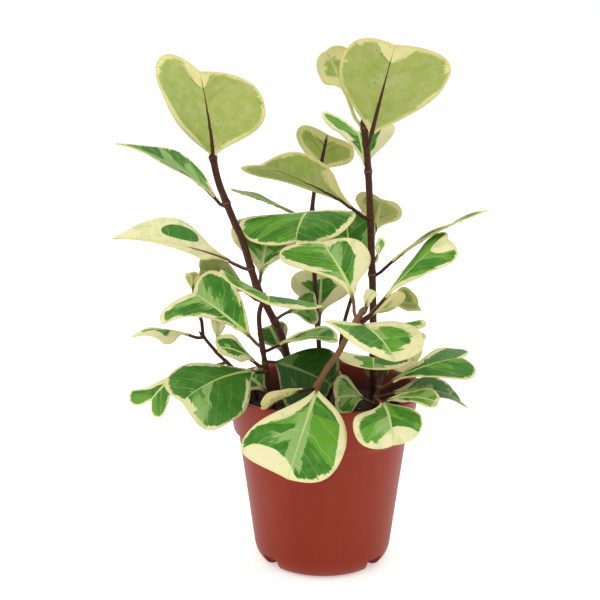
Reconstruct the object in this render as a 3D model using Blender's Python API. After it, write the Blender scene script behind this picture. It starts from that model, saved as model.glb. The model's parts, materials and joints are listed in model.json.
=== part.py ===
"""A potted mistletoe fig: a nursery pot, its soil, nine woody stems and forty-nine leaves.

Metres, +Z up. The pot stands on the ground at the origin, and the plant faces -Y.
Sizes below are in millimetres and are turned into metres by MM.
"""
import math
import random

import bmesh
import bpy
from mathutils import Matrix, Vector

MM = 0.001

# Pot
POT_HEIGHT = 105.7
LIP_RADIUS = 60.0
LIP_THICKNESS = 1.5
COLLAR_TOP_RADIUS = 57.2
COLLAR_FOOT_RADIUS = 53.3
COLLAR_FOOT_HEIGHT = 80.6
BODY_TOP_RADIUS = 50.4
BODY_FOOT_RADIUS = 41.2
WALL = 1.6
FLOOR_UNDERSIDE = 8.0
FOOT_RADIUS = 35.0
FOOT_RING_WIDTH = 4.2
PAD_RADIUS = 8.0
NOTCH_AZIMUTHS = (-139.0, -40.0, 40.0, 139.0)
NOTCH_ANGLE = 18.0
NOTCH_HEIGHT = 7.2
DRAIN_HOLES = 6
DRAIN_HOLE_RADIUS = 3.0
DRAIN_CIRCLE_RADIUS = 23.0
POT_SEGMENTS = 42

# Soil
SOIL_HEIGHT = 89.5
SOIL_MOUND = 1.6
SOIL_LUMP = 0.7
SOIL_SEED = 11
SOIL_SEGMENTS = 30
CLEARANCE = 0.35
HOLE_CLEARANCE = 0.9

# Stems: nine shoots of rooted cuttings. Each path starts in the soil and runs to the shoot's tip.
ROOT_END = 64.0
STEM_SIDES = 8
STEM_RING_SPACING = 14.0
STEMS = {
    "left": (2.3, 2.0, (
        (-15.5, 11.5, ROOT_END), (-15.5, 11.5, 90), (-17.5, 10, 99), (-24, 8, 131), (-33, 5, 151),
        (-40, 3, 167), (-47, 0, 192), (-52, -2, 204), (-60, -4, 226), (-63, -6, 241))),
    "left_short": (1.9, 1.3, (
        (-28, -8.5, ROOT_END), (-28.3, -8.7, 90), (-29.5, -9.2, 98), (-34, -10, 122), (-37, -12, 148),
        (-34, -12, 161))),
    "right": (2.3, 1.9, (
        (31.5, 6, ROOT_END), (31.3, 6, 90), (30, 5, 114), (29.5, 3.5, 150), (28, 2, 187),
        (26.5, 0, 215), (25, 0, 238), (22.5, 0, 260))),
    "back": (1.7, 1.2, (
        (-0.5, 27, ROOT_END), (-0.6, 27.2, 90), (-1.5, 28.5, 108), (-5, 31, 160), (-7, 34, 203),
        (-4, 35, 229))),
    "front": (2.0, 1.6, (
        (-9.5, -37, ROOT_END), (-9.3, -37.4, 90), (-8.6, -39, 98), (-5, -41.5, 112), (2, -42, 126),
        (8, -40, 134), (14, -38, 145), (19.5, -36, 154), (22, -35, 158))),
    "far_left": (1.5, 1.0, (
        (-40, 20, ROOT_END), (-40.3, 20, 90), (-45, 20, 100), (-59, 20, 113.5), (-66, 22, 120),
        (-75, 25, 130))),
    "front_right": (1.7, 1.1, (
        (25, -34, ROOT_END), (25.2, -34.2, 90), (27, -35, 99), (30, -36, 109), (33, -36, 121))),
    "middle": (1.6, 1.0, (
        (2, 4.3, ROOT_END), (2.3, 4.5, 90), (4, 5.5, 99), (9, 8, 114), (12, 10, 138), (19, 10, 164))),
    "back_right": (1.6, 1.1, (
        (30.5, 27, ROOT_END), (30.6, 27.2, 90), (31, 28.5, 104), (31.5, 30, 140), (30, 34, 190))),
}

# Leaves: stalk, then a wedge-shaped blade with two round lobes at its far end. A pair of values
# gives the left and the right half their own.
STALK_HALF_WIDTH = 1.0
STALK_THICKNESS = 1.7
BLADE_THICKNESS = 0.7
LEAF_FORM = {
    "petiole": 7.0,    # length of the stalk
    "lift": 0.3,       # how far the stalk leans along its stem
    "arch": 3.0,       # bow of the midrib towards the upper face
    "fold": 8.0,       # degrees that each half rises from the midrib
    "cup": 0.0,        # further degrees from the midrib to the margin
    "twist": 0.0,      # degrees of turn along the midrib
    "lean": 0.0,       # right lobe longer and left lobe shorter, as a part of the length
    "bias": 0.0,       # right half wider and left half narrower, as a part of the width
    "notch": 0.07,     # how far the lobes rise beyond the end of the midrib
    "widest": 0.68,    # place of the greatest width
    "corner": 0.28,    # roundness of the lobes
    "wedge": 0.32,     # length of the narrow foot of the blade
    "shoulder": 0.3,   # roundness of the long edges
    "wave": 0.8,       # height of the waves along the margin
    "waves": 1.5,      # number of waves from foot to end
}
# name: stem, height of the node, tip of the midrib, direction of the upper face, width, form
LEAVES = {
    "left_1": ("left", 240, (-67, -24, 287), (0.45, 0.78, 0.42), 70, {
        "petiole": 1.5, "arch": 2, "lean": 0.12, "notch": (0.13, 0.18), "corner": (0.34, 0.38),
        "wedge": (0.16, 0.06), "shoulder": (0.3, 0.5)}),
    "left_2": ("left", 214, (-115, -8, 248), (0.3, -0.11, 1), 39, {
        "petiole": 6, "arch": 5, "lift": 0.75, "fold": (8, 12), "notch": (0.08, -0.35),
        "widest": (0.68, 0.42), "corner": (0.28, 0.2), "wedge": 0.12, "shoulder": (0.5, 0.25)}),
    "left_3": ("left", 175.5, (-129, 26, 189.5), (0.1, -0.17, 0.98), 28, {
        "petiole": 11, "arch": 5, "bias": 0.44, "fold": (-25, 25), "notch": (-0.8, -0.15),
        "widest": (0.2, 0.6), "corner": (-0.05, 0.28), "wedge": (0.15, 0.3), "shoulder": (0.03, 0.3)}),
    "left_4": ("left", 165, (-32, 20, 199), (0.05, -0.9, 0.4), 40, {
        "petiole": 5, "bias": -0.1, "fold": 12}),
    "left_5": ("left", 156, (-75, 24, 171), (0.1, 0.85, 0.5), 28, {"petiole": 8}),
    "left_6": ("left", 143, (-4, 21, 147), (-0.1, -0.9, 0.4), 21, {"petiole": 8}),
    "left_7": ("left", 117, (-33, 24, 136), (0, -0.9, 0.4), 19, {"petiole": 6}),
    "left_short_1": ("left_short", 160.8, (-29, -56, 165.5), (0.34, -0.1, 0.94), 60, {
        "petiole": 4, "notch": 0.05, "fold": 10}),
    "left_short_2": ("left_short", 131.5, (-77.5, 8, 159.5), (0.1, -0.75, 0.62), 45, {
        "petiole": 8, "bias": -0.14, "notch": (0.25, 0.12), "fold": (-12, 15), "widest": (1.07, 0.85),
        "corner": 0.22, "wedge": (0.85, 0.12), "shoulder": (0.02, 0.4)}),
    "left_short_3": ("left_short", 129, (8, -10, 136), (-0.05, -0.06, 1), 28, {
        "petiole": 8, "wave": 1.2}),
    "left_short_4": ("left_short", 122, (5, -26, 113), (0, -0.8, 0.6), 45, {
        "petiole": 5, "bias": 0.12, "fold": -8, "wedge": 0.15}),
    "left_short_5": ("left_short", 120, (-60, -26, 134.5), (-0.1, -0.5, 0.85), 22, {"petiole": 6}),
    "left_short_6": ("left_short", 117, (-78, -46, 108), (-0.25, -0.6, 0.78), 50.5, {
        "petiole": 6, "arch": 7, "bias": -0.19, "fold": (-8, 8), "notch": (0.06, 0.04),
        "widest": (0.78, 0.82), "wedge": (0.25, 0.32), "shoulder": (0.46, 0.28),
        "corner": (0.36, 0.24)}),
    "left_short_7": ("left_short", 101, (-45, 8, 108.5), (0, -0.9, 0.4), 20, {"petiole": 4}),
    "right_1": ("right", 256.5, (1, 12, 299.5), (0.3, 0.9, 0.3), 25, {
        "petiole": 21, "widest": 0.6, "wedge": (0.3, 0.42)}),
    "right_2": ("right", 248, (38, -22, 301), (0.1, 0.88, 0.4), 60.5, {
        "petiole": 5, "arch": 2, "bias": -0.125, "notch": (0.06, 0.03), "widest": (0.8, 0.64),
        "corner": (0.2, 0.36), "wedge": (0.15, 0.15), "shoulder": (0.38, 0.28)}),
    "right_3": ("right", 232, (20, 20, 254), (0, -0.85, 0.5), 40, {
        "petiole": 4, "bias": 0.05, "fold": (14, 10), "notch": (1.0, 0.2), "widest": (1.7, 0.8),
        "corner": (0.55, 0.4), "wedge": (0.6, 0.3), "shoulder": (0.6, 0.4)}),
    "right_4": ("right", 205.5, (-35, -22, 237), (0.1, 0.45, 0.9), 46, {
        "petiole": 11, "fold": 9, "arch": 3, "notch": (-0.06, 0.14), "widest": (0.64, 0.85)}),
    "right_5": ("right", 172, (87, -18, 210), (-0.45, 0.17, 0.88), 44, {
        "petiole": 12, "fold": 2, "notch": 0.16}),
    "right_6": ("right", 121, (28, -40, 126), (0.05, -0.42, 1), 42, {"petiole": 5}),
    "back_1": ("back", 227, (2, 31, 252), (0.1, 0.9, 0.4), 37, {
        "petiole": 3, "lift": 0.1, "lean": 0.14, "wedge": 0.2, "corner": 0.36, "notch": 0.0}),
    "back_2": ("back", 206, (-16, -6, 192), (-0.2, -0.35, 1), 71, {
        "petiole": 8, "arch": 5, "notch": 0.18}),
    "back_3": ("back", 199.5, (-54, 22, 219), (0.35, 0.06, 1), 30, {"arch": 1, "fold": 4}),
    "back_4": ("back", 135, (-1, 40, 167), (0, -0.95, 0.3), 38, {"petiole": 6}),
    "front_1": ("front", 153.5, (-1, -20, 194), (-0.1, -0.8, 0.6), 44, {
        "petiole": 10, "lift": 0.65, "lean": -0.18, "bias": -0.16, "arch": 5, "widest": (0.85, 0.68),
        "wedge": (0.6, 0.32)}),
    "front_2": ("front", 153.5, (66.5, -42, 199), (-0.58, -0.16, 0.8), 48, {
        "petiole": 18, "fold": -7, "notch": 0.06, "lift": 0.1, "widest": 0.9, "corner": 0.14,
        "wedge": (0.3, 0.42), "shoulder": 0.4}),
    "front_3": ("front", 152, (38, -70, 138), (0.36, -0.21, 0.88), 56, {
        "petiole": 3, "bias": 0.32, "fold": (44, 8), "notch": (0.06, 0.02), "widest": (0.75, 0.45),
        "corner": (0.3, 0.24), "wedge": (0.2, 0.12), "shoulder": (0.35, 0.28)}),
    "front_4": ("front", 157.5, (29, -31, 168), (-0.6, -0.6, 0.5), 9, {
        "petiole": 3, "widest": 0.6, "notch": -0.05}),
    "front_5": ("front", 151.5, (42, -14, 156), (-0.1, 0.6, 0.75), 30, {}),
    "front_6": ("front", 117, (-18, -84, 78), (-0.05, -0.95, 0.3), 53, {
        "petiole": 3, "arch": 9, "bias": 0.08, "notch": (-0.02, -0.06), "widest": (0.6, 0.82),
        "corner": (0.36, 0.14), "wedge": (0.12, 0.32), "shoulder": (0.32, 0.25)}),
    "front_7": ("front", 115, (-33, -56, 109), (-0.1, 0.7, 0.7), 14, {
        "petiole": 6, "arch": 0.5, "bias": -0.1}),
    "far_left_1": ("far_left", 129.5, (-114, 6, 132.5), (0, -0.2, 1), 30, {
        "fold": (-12, -19), "arch": 6, "notch": (-0.45, 0.05), "widest": (0.55, 0.7),
        "corner": (0.1, 0.28)}),
    "far_left_2": ("far_left", 129, (-83, 35, 167), (0.2, 0.7, 0.6), 11, {"petiole": 25, "wedge": 0.5}),
    "far_left_3": ("far_left", 119.5, (-64, 22, 145), (0.1, -0.8, 0.5), 9, {"petiole": 5}),
    "far_left_4": ("far_left", 114, (-105, 10, 92), (-0.2, -0.75, 0.6), 29, {
        "petiole": 24, "notch": (0.3, 0.65), "widest": (0.95, 1.15), "corner": 0.22,
        "wedge": (0.5, 0.85), "shoulder": (0.25, 0.03)}),
    "front_right_1": ("front_right", 115, (79, -25, 129), (-0.35, -0.2, 0.85), 48, {
        "petiole": 6, "bias": -0.05, "notch": (0.3, 0.16), "fold": -7, "wedge": 0.45,
        "widest": (1.04, 0.85), "corner": (0.24, 0.16)}),
    "front_right_2": ("front_right", 109.5, (80, -18, 101), (0.1, -0.2, 1), 30, {
        "petiole": 8, "arch": 6}),
    "front_right_3": ("front_right", 108.5, (37, -78, 95), (0.1, -0.8, 0.6), 38, {
        "petiole": 10, "arch": 7, "notch": 0.06, "lean": 0.06, "bias": 0.1, "wedge": (0.4, 0.48)}),
    "front_right_4": ("front_right", 106, (63, -48, 109.5), (0, -0.3, 0.95), 16, {
        "petiole": 5, "arch": 3.5, "wave": 1.4}),
    "front_right_5": ("front_right", 105.5, (7, -38, 108), (0, -0.6, 0.8), 27, {"petiole": 5}),
    "middle_1": ("middle", 161, (13, 20, 206), (0.1, -0.9, 0.4), 33, {"petiole": 8, "wedge": 0.15}),
    "middle_2": ("middle", 97.5, (8, 0, 115), (-0.7, -0.7, 0.2), 15, {"petiole": 5}),
    "back_right_1": ("back_right", 187.5, (34, 15, 215), (0, 0.8, 0.6), 30, {
        "petiole": 6, "lean": 0.2}),
    "back_right_2": ("back_right", 172, (32, 18, 188), (0.8, -0.5, 0.3), 17, {
        "petiole": 4, "lift": 0.1}),
    "back_right_3": ("back_right", 146, (58, 22, 150), (0, 0.75, 0.7), 25, {"petiole": 6}),
    "back_right_4": ("back_right", 129.5, (58, 10, 138), (0, 0.05, 1), 24, {}),
    "back_right_5": ("back_right", 123, (58, 8, 131), (0.2, -0.05, 1), 22, {}),
    "back_right_6": ("back_right", 115, (57, 9, 118), (0.2, -0.8, 0.6), 25, {}),
    "back_right_7": ("back_right", 96, (33, 14, 118), (0.1, -0.9, 0.4), 15, {"petiole": 4}),
}
STALK_ROWS = 2
SMALL_LEAF_WIDTH = 31.0


def clear_scene():
    """Remove what the new file holds."""
    for thing in list(bpy.data.objects):
        bpy.data.objects.remove(thing, do_unlink=True)


def material(name, color, roughness):
    """One plain surface."""
    made = bpy.data.materials.new(name)
    made.use_nodes = True
    shader = made.node_tree.nodes["Principled BSDF"]
    shader.inputs["Base Color"].default_value = (*color, 1.0)
    shader.inputs["Roughness"].default_value = roughness
    return made


def add_object(name, bm, surface, smooth):
    """Turn a bmesh into an object of the scene."""
    mesh = bpy.data.meshes.new(name)
    bm.to_mesh(mesh)
    bm.free()
    for polygon in mesh.polygons:
        polygon.use_smooth = smooth
    thing = bpy.data.objects.new(name, mesh)
    bpy.context.scene.collection.objects.link(thing)
    if surface:
        mesh.materials.append(surface)
    return thing


def add_cutter(name, bm, target):
    """Cut a body away from a target."""
    cutter = add_object(name, bm, None, False)
    cutter.hide_render = True
    cutter.display_type = "WIRE"
    cut = target.modifiers.new(name, "BOOLEAN")
    cut.operation = "DIFFERENCE"
    cut.solver = "EXACT"
    cut.object = cutter


def profile_mesh(points):
    """A chain of edges in the XZ plane from points in millimetres."""
    bm = bmesh.new()
    verts = [bm.verts.new((x * MM, 0.0, z * MM)) for x, z in points]
    for first, second in zip(verts, verts[1:]):
        bm.edges.new((first, second))
    return bm


def collar_radius(z):
    """Outer radius of the collar at a height."""
    part = (z - COLLAR_FOOT_HEIGHT) / (POT_HEIGHT - 2.1 - COLLAR_FOOT_HEIGHT)
    return COLLAR_FOOT_RADIUS + part * (COLLAR_TOP_RADIUS - COLLAR_FOOT_RADIUS)


def body_radius(z):
    """Outer radius of the body below the collar at a height."""
    part = (z - 8.0) / (COLLAR_FOOT_HEIGHT - 3.0 - 8.0)
    return BODY_FOOT_RADIUS + part * (BODY_TOP_RADIUS - BODY_FOOT_RADIUS)


def pot_profile():
    """Section of the pot: floor, inner wall, lip, outer wall, foot ring and middle pad."""
    floor = FLOOR_UNDERSIDE + WALL
    step = COLLAR_FOOT_HEIGHT
    lip = POT_HEIGHT
    inner_foot = FOOT_RADIUS - FOOT_RING_WIDTH
    return [
        (0.0, floor),
        (FOOT_RADIUS, floor),
        (body_radius(13.0) - WALL, 13.0),
        (body_radius(step - 2.5) - WALL, step - 2.5),
        (collar_radius(step + 1.5) - WALL, step + 1.5),
        (collar_radius(lip - 1.5) - WALL, lip - 1.5),
        (LIP_RADIUS - 2.6, lip - 0.3),
        (LIP_RADIUS - 0.8, lip),
        (LIP_RADIUS, lip - 0.5),
        (LIP_RADIUS, lip - 1.1),
        (LIP_RADIUS - 0.7, lip - LIP_THICKNESS),
        (COLLAR_TOP_RADIUS, lip - 2.1),
        (COLLAR_FOOT_RADIUS, step),
        (COLLAR_FOOT_RADIUS - 0.9, step - 1.1),
        (BODY_TOP_RADIUS, step - 3.0),
        (BODY_FOOT_RADIUS, 8.0),
        (BODY_FOOT_RADIUS - 1.2, 4.2),
        (FOOT_RADIUS + 2.8, 1.2),
        (FOOT_RADIUS, 0.0),
        (inner_foot, 0.0),
        (inner_foot - 0.4, FLOOR_UNDERSIDE),
        (PAD_RADIUS + 0.8, FLOOR_UNDERSIDE),
        (PAD_RADIUS, 0.0),
        (0.0, 0.0),
    ]


def notch_cutter():
    """Wedges that part the foot ring into four feet."""
    bm = bmesh.new()
    for azimuth in map(math.radians, NOTCH_AZIMUTHS):
        half = math.radians(NOTCH_ANGLE / 2.0)
        low, high = -3.0 * MM, NOTCH_HEIGHT * MM
        near, far = 26.0 * MM, 50.0 * MM
        corners = [(near, -half), (far, -half), (far, half), (near, half)]
        base = [bm.verts.new((r * math.cos(azimuth + a), r * math.sin(azimuth + a), low))
                for r, a in corners]
        face = bm.faces.new(base)
        raised = bmesh.ops.extrude_face_region(bm, geom=[face])["geom"]
        tops = [item for item in raised if isinstance(item, bmesh.types.BMVert)]
        bmesh.ops.translate(bm, verts=tops, vec=(0.0, 0.0, high - low))
    bmesh.ops.recalc_face_normals(bm, faces=bm.faces)
    return bm


def post(bm, x, y, low, high, radius, sides):
    """An upright cylinder."""
    middle = Matrix.Translation((x * MM, y * MM, (low + high) / 2.0 * MM))
    bmesh.ops.create_cone(bm, cap_ends=True, segments=sides, radius1=radius * MM,
                          radius2=radius * MM, depth=(high - low) * MM, matrix=middle)


def make_pot(surface):
    """Turn the pot and cut its feet and drainage holes."""
    pot = add_object("pot", profile_mesh(pot_profile()), surface, True)
    turn = pot.modifiers.new("turn", "SCREW")
    turn.steps = POT_SEGMENTS
    turn.render_steps = POT_SEGMENTS
    turn.use_merge_vertices = True
    turn.merge_threshold = 0.0001
    turn.use_smooth_shade = True
    add_cutter("pot_notches", notch_cutter(), pot)
    holes = bmesh.new()
    for index in range(DRAIN_HOLES):
        angle = 2.0 * math.pi * (index + 0.5) / DRAIN_HOLES
        post(holes, DRAIN_CIRCLE_RADIUS * math.cos(angle), DRAIN_CIRCLE_RADIUS * math.sin(angle),
             FLOOR_UNDERSIDE - 3.0, FLOOR_UNDERSIDE + WALL + 3.0, DRAIN_HOLE_RADIUS, 12)
    add_cutter("pot_drainage", holes, pot)
    return pot


def make_soil(surface):
    """Potting mix that fills the pot, with a low uneven mound and a plain hole for each stem."""
    rng = random.Random(SOIL_SEED)
    step = COLLAR_FOOT_HEIGHT
    gap = WALL + CLEARANCE + 0.2
    bottom = FLOOR_UNDERSIDE + WALL + CLEARANCE
    edge = collar_radius(SOIL_HEIGHT) - gap
    rings = [(edge * part, SOIL_HEIGHT + SOIL_MOUND * (1.0 - part * part))
             for part in (0.0, 0.28, 0.55, 0.8)]
    section = rings + [
        (edge - 0.3, SOIL_HEIGHT),
        (collar_radius(step + 1.5) - gap - 0.1, step + 1.8),
        (body_radius(step - 2.5) - gap - 0.1, step - 2.2),
        (body_radius(13.0) - gap, 13.0),
        (FOOT_RADIUS - 0.3, bottom),
        (0.0, bottom),
    ]
    bm = profile_mesh(section)
    bmesh.ops.spin(bm, geom=bm.verts[:] + bm.edges[:], cent=(0.0, 0.0, 0.0), axis=(0.0, 0.0, 1.0),
                   dvec=(0.0, 0.0, 0.0), angle=2.0 * math.pi, steps=SOIL_SEGMENTS, use_merge=True)
    bmesh.ops.remove_doubles(bm, verts=bm.verts, dist=0.01 * MM)
    for vert in bm.verts:
        if vert.co.z > (SOIL_HEIGHT - 0.1) * MM and vert.co.xy.length < (edge - 2.0) * MM:
            vert.co.z += rng.uniform(-SOIL_LUMP, SOIL_LUMP) * MM
    bmesh.ops.triangulate(bm, faces=bm.faces)
    bmesh.ops.recalc_face_normals(bm, faces=bm.faces)
    soil = add_object("soil", bm, surface, True)
    holes = bmesh.new()
    for root_radius, _, points in STEMS.values():
        post(holes, points[0][0], points[0][1], ROOT_END - CLEARANCE, SOIL_HEIGHT + 8.0,
             root_radius + HOLE_CLEARANCE, 10)
    add_cutter("soil_stem_holes", holes, soil)
    return soil


def curve_through(points, samples):
    """A smooth path through points, as a list of vectors in millimetres."""
    knots = [Vector(point) for point in points]
    knots = [2 * knots[0] - knots[1]] + knots + [2 * knots[-1] - knots[-2]]
    path = []
    for a, b, c, d in zip(knots, knots[1:], knots[2:], knots[3:]):
        for index in range(samples):
            t = index / samples
            path.append(0.5 * (2 * b + (c - a) * t + (2 * a - 5 * b + 4 * c - d) * t * t
                               + (3 * b - a - 3 * c + d) * t * t * t))
    path.append(Vector(points[-1]))
    return path


def lengths_along(path):
    """Distance from the start at each point of a path."""
    marks = [0.0]
    for first, second in zip(path, path[1:]):
        marks.append(marks[-1] + (second - first).length)
    return marks


def point_along(path, marks, distance):
    """Point of a path at a distance from its start, run on straight beyond its ends."""
    index = 1
    while index < len(path) - 1 and marks[index] < distance:
        index += 1
    span = marks[index] - marks[index - 1]
    return path[index - 1].lerp(path[index], (distance - marks[index - 1]) / span)


def stem_path(name):
    """Path of a stem and the distances along it."""
    path = curve_through(STEMS[name][2], 12)
    return path, lengths_along(path)


def make_stem(name, surface):
    """A tapered, rounded shoot."""
    root_radius, tip_radius, _ = STEMS[name]
    path, marks = stem_path(name)
    total = marks[-1]
    rings = max(4, round(total / STEM_RING_SPACING))
    stations = [(total * index / rings, 1.0) for index in range(rings + 1)]
    stations.append((total + 0.8 * tip_radius, 0.55))
    bm = bmesh.new()
    edges = []
    for number, (distance, share) in enumerate(stations):
        centre = point_along(path, marks, distance)
        along = (point_along(path, marks, min(distance + 1.0, total + 1.0))
                 - point_along(path, marks, max(distance - 1.0, 0.0))).normalized()
        across = along.cross(Vector((0.0, 1.0, 0.0))).normalized()
        radius = (root_radius + (tip_radius - root_radius) * min(distance / total, 1.0)) * share
        place = Matrix((across, along.cross(across), along)).transposed().to_4x4()
        place.translation = centre * MM
        ends = number in (0, len(stations) - 1)
        ring = bmesh.ops.create_circle(bm, cap_ends=ends, segments=STEM_SIDES, radius=radius * MM,
                                       matrix=place)["verts"]
        rim = [edge for edge in bm.edges if edge.verts[0] in ring and edge.verts[1] in ring]
        if edges:
            bmesh.ops.bridge_loops(bm, edges=edges + rim)
        edges = rim
    bmesh.ops.recalc_face_normals(bm, faces=bm.faces)
    return add_object("stem_" + name, bm, surface, True)


def bezier(points, t):
    """Point of a curve given by its control points."""
    level = [Vector(point) for point in points]
    while len(level) > 1:
        level = [a.lerp(b, t) for a, b in zip(level, level[1:])]
    return level[0]


class Leaf:
    """A stalk that runs on as the midrib of a folded and gently waved blade."""

    def __init__(self, stem, node, tip, face, width, form):
        for key, value in {**LEAF_FORM, **form}.items():
            setattr(self, key, value)
        self.width = width
        self.face = Vector(face).normalized()
        self.tip = Vector(tip)
        self.start, way = self.attach(stem, node)
        foot = self.start + self.petiole * way
        upper = self.face - self.face.dot((self.tip - foot).normalized()) * (
            self.tip - foot).normalized()
        bow = self.tip - 0.45 * (self.tip - foot) + 1.7 * self.arch * upper.normalized()
        control = [self.start, self.start + 1.25 * self.petiole * way, bow, self.tip]
        self.rib = [bezier(control, index / 60.0) for index in range(61)]
        self.marks = lengths_along(self.rib)
        self.length = self.marks[-1] - self.petiole

    def attach(self, stem, node):
        """Start of the stalk beside its stem and the way that it sets off."""
        path, marks = stem_path(stem)
        index = next((i for i in range(1, len(path)) if path[i].z >= node), len(path) - 1)
        low, high = path[index - 1], path[index]
        part = min(max((node - low.z) / (high.z - low.z), 0.0), 1.0)
        centre = low.lerp(high, part)
        along = (high - low).normalized()
        root_radius, tip_radius, _ = STEMS[stem]
        done = (marks[index - 1] + part * (high - low).length) / marks[-1]
        radius = root_radius + (tip_radius - root_radius) * done
        towards = (self.tip - centre).normalized()
        way = ((1.0 - self.lift) * towards + self.lift * along).normalized()
        outward = (way - way.dot(along) * along).normalized()
        upper = (self.face - self.face.dot(way) * way).normalized()
        reach = (STALK_HALF_WIDTH * abs(way.cross(upper).dot(outward))
                 + STALK_THICKNESS * max(0.0, upper.dot(outward)))
        return centre + outward * (radius + CLEARANCE + reach), way

    def frame(self, x):
        """Midrib point, upper direction and right-hand direction at a distance along the blade."""
        distance = x + self.petiole
        spot = min(max(distance, 0.5), self.marks[-1] - 0.5)
        along = (point_along(self.rib, self.marks, spot + 0.5)
                 - point_along(self.rib, self.marks, spot - 0.5)).normalized()
        upper = (self.face - self.face.dot(along) * along).normalized()
        right = along.cross(upper)
        turn = math.radians(self.twist) * min(max(x / self.length, 0.0), 1.2)
        turned = upper * math.cos(turn) + right * math.sin(turn)
        right = right * math.cos(turn) - upper * math.sin(turn)
        return point_along(self.rib, self.marks, distance), turned, right

    def on(self, name, side):
        """A size that may differ between the left and the right half."""
        value = getattr(self, name)
        return value[0 if side < 0 else 1] if isinstance(value, tuple) else value

    def outline(self, side):
        """Control points of the long edge and of the lobed end on one side of the blade."""
        length, half = self.length, 0.5 * self.width * (1.0 + side * self.bias)
        widest = (self.on("widest", side) + side * self.lean) * length
        rise = (self.on("notch", side) + side * self.lean) * length
        edge = [(0.0, STALK_HALF_WIDTH, 0.0), (self.on("wedge", side) * length, 0.2 * half, 0.0),
                (widest - self.on("shoulder", side) * length, half, 0.0), (widest, half, 0.0)]
        end = [(length, 0.0, 0.0), (length + rise, 0.48 * half, 0.0),
               (widest + self.on("corner", side) * length, half, 0.0), (widest, half, 0.0)]
        return edge, end

    def flat(self, u, v, side):
        """Flat place on the blade: u from foot to end, v from midrib to margin."""
        edge, end = self.outline(side)
        rib = Vector((u * self.length, 0.0, 0.0))
        foot = Vector((0.0, v * STALK_HALF_WIDTH, 0.0))
        rim, lobe = bezier(edge, u), bezier(end, v)
        corner = bezier(edge, 1.0)
        blend = ((1 - u) * v * Vector((0.0, STALK_HALF_WIDTH, 0.0))
                 + u * (1 - v) * Vector((self.length, 0.0, 0.0)) + u * v * corner)
        return (1 - v) * rib + v * rim + (1 - u) * foot + u * lobe - blend

    def place(self, x, y, side):
        """Bend a flat place of the blade into its real place."""
        middle, upper, right = self.frame(x)
        half = 0.5 * self.width
        start = math.radians(self.on("fold", side))
        bend = math.radians(self.on("cup", side)) / half + 1e-6
        out = (math.sin(start + bend * y) - math.sin(start)) / bend
        rise = (math.cos(start) - math.cos(start + bend * y)) / bend
        phase = 0.0 if side < 0 else 0.37
        ripple = math.sin(2.0 * math.pi * (self.waves * x / self.length + phase))
        rise += self.wave * (y / half) ** 1.5 * ripple
        return middle + side * out * right + rise * upper


def leaf_places(leaf, rows, columns):
    """Grid of places in millimetres, stalk rows first, from the left margin to the right."""
    grid = []
    for row in range(STALK_ROWS):
        x = -leaf.petiole * (1.0 - row / STALK_ROWS)
        middle, _, right = leaf.frame(x)
        grid.append([middle + right * STALK_HALF_WIDTH * column / columns
                     for column in range(-columns, columns + 1)])
    for row in range(rows + 1):
        line = []
        for column in range(-columns, columns + 1):
            side = -1 if column < 0 else 1
            spot = leaf.flat(row / rows, abs(column) / columns, side)
            line.append(leaf.place(spot.x, spot.y, side))
        grid.append(line)
    return grid


def split_along_veins(bm, index, columns):
    """Split each square towards the margin and the end, as the side veins run."""
    for face in list(bm.faces):
        corners = {index[vert]: vert for vert in face.verts}
        rows = sorted({row for row, _ in corners})
        cols = sorted({col for _, col in corners}, key=lambda col: abs(col - columns))
        bmesh.utils.face_split(face, corners[(rows[0], cols[0])], corners[(rows[1], cols[1])])


def make_leaf(name, surface):
    """A leaf sheet, thickened towards its underside, with a stout stalk and midrib."""
    stem, node, tip, face, width, form = LEAVES[name]
    leaf = Leaf(stem, node, tip, face, width, form)
    rows, columns = (5, 2) if width < SMALL_LEAF_WIDTH else (7, 3)
    grid = leaf_places(leaf, rows, columns)
    down, across = len(grid) - 1, 2 * columns
    bm = bmesh.new()
    bmesh.ops.create_grid(bm, x_segments=down, y_segments=across, size=1.0)
    index = {}
    for vert in bm.verts:
        index[vert] = (round((vert.co.x + 1.0) / 2.0 * down), round((vert.co.y + 1.0) / 2.0 * across))
    split_along_veins(bm, index, columns)
    bm.verts.index_update()
    weights = {}
    for vert, (row, column) in index.items():
        vert.co = grid[row][column] * MM
        weights[vert.index] = rib_weight(row, column, rows, columns)
    bmesh.ops.reverse_faces(bm, faces=bm.faces)
    thing = add_object("leaf_" + name, bm, surface, True)
    group = thing.vertex_groups.new(name="stoutness")
    for number, weight in weights.items():
        group.add([number], weight, "REPLACE")
    sheet = thing.modifiers.new("sheet", "SOLIDIFY")
    sheet.thickness = STALK_THICKNESS * MM
    sheet.offset = -1.0
    sheet.vertex_group = group.name
    sheet.thickness_vertex_group = BLADE_THICKNESS / STALK_THICKNESS
    return thing


def rib_weight(row, column, rows, columns):
    """Full thickness on the stalk, less along the midrib, none on the blade."""
    if row <= STALK_ROWS:
        return 1.0
    if column == columns:
        return 0.8 * (1.0 - (row - STALK_ROWS) / rows)
    return 0.0


def main():
    """Build every piece."""
    clear_scene()
    make_pot(material("pot_plastic", (0.30, 0.045, 0.025), 0.45))
    make_soil(material("potting_mix", (0.035, 0.022, 0.014), 0.95))
    bark = material("stem_bark", (0.075, 0.030, 0.018), 0.7)
    for name in STEMS:
        make_stem(name, bark)
    blade = material("leaf_blade", (0.10, 0.26, 0.07), 0.4)
    for name in LEAVES:
        make_leaf(name, blade)


main()
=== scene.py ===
"""Looks of a potted mistletoe fig: variegated leaves, woody stems, potting mix and a nursery pot.

Every size is in millimetres in the tables and becomes metres in the meshes. The pot stands at the
origin, +Z is up, and the plant faces -Y.
"""

import json
import logging
import math
from dataclasses import dataclass, field
from enum import Enum

import bmesh
import bpy
import numpy as np
from mathutils import Matrix, Vector, noise

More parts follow.
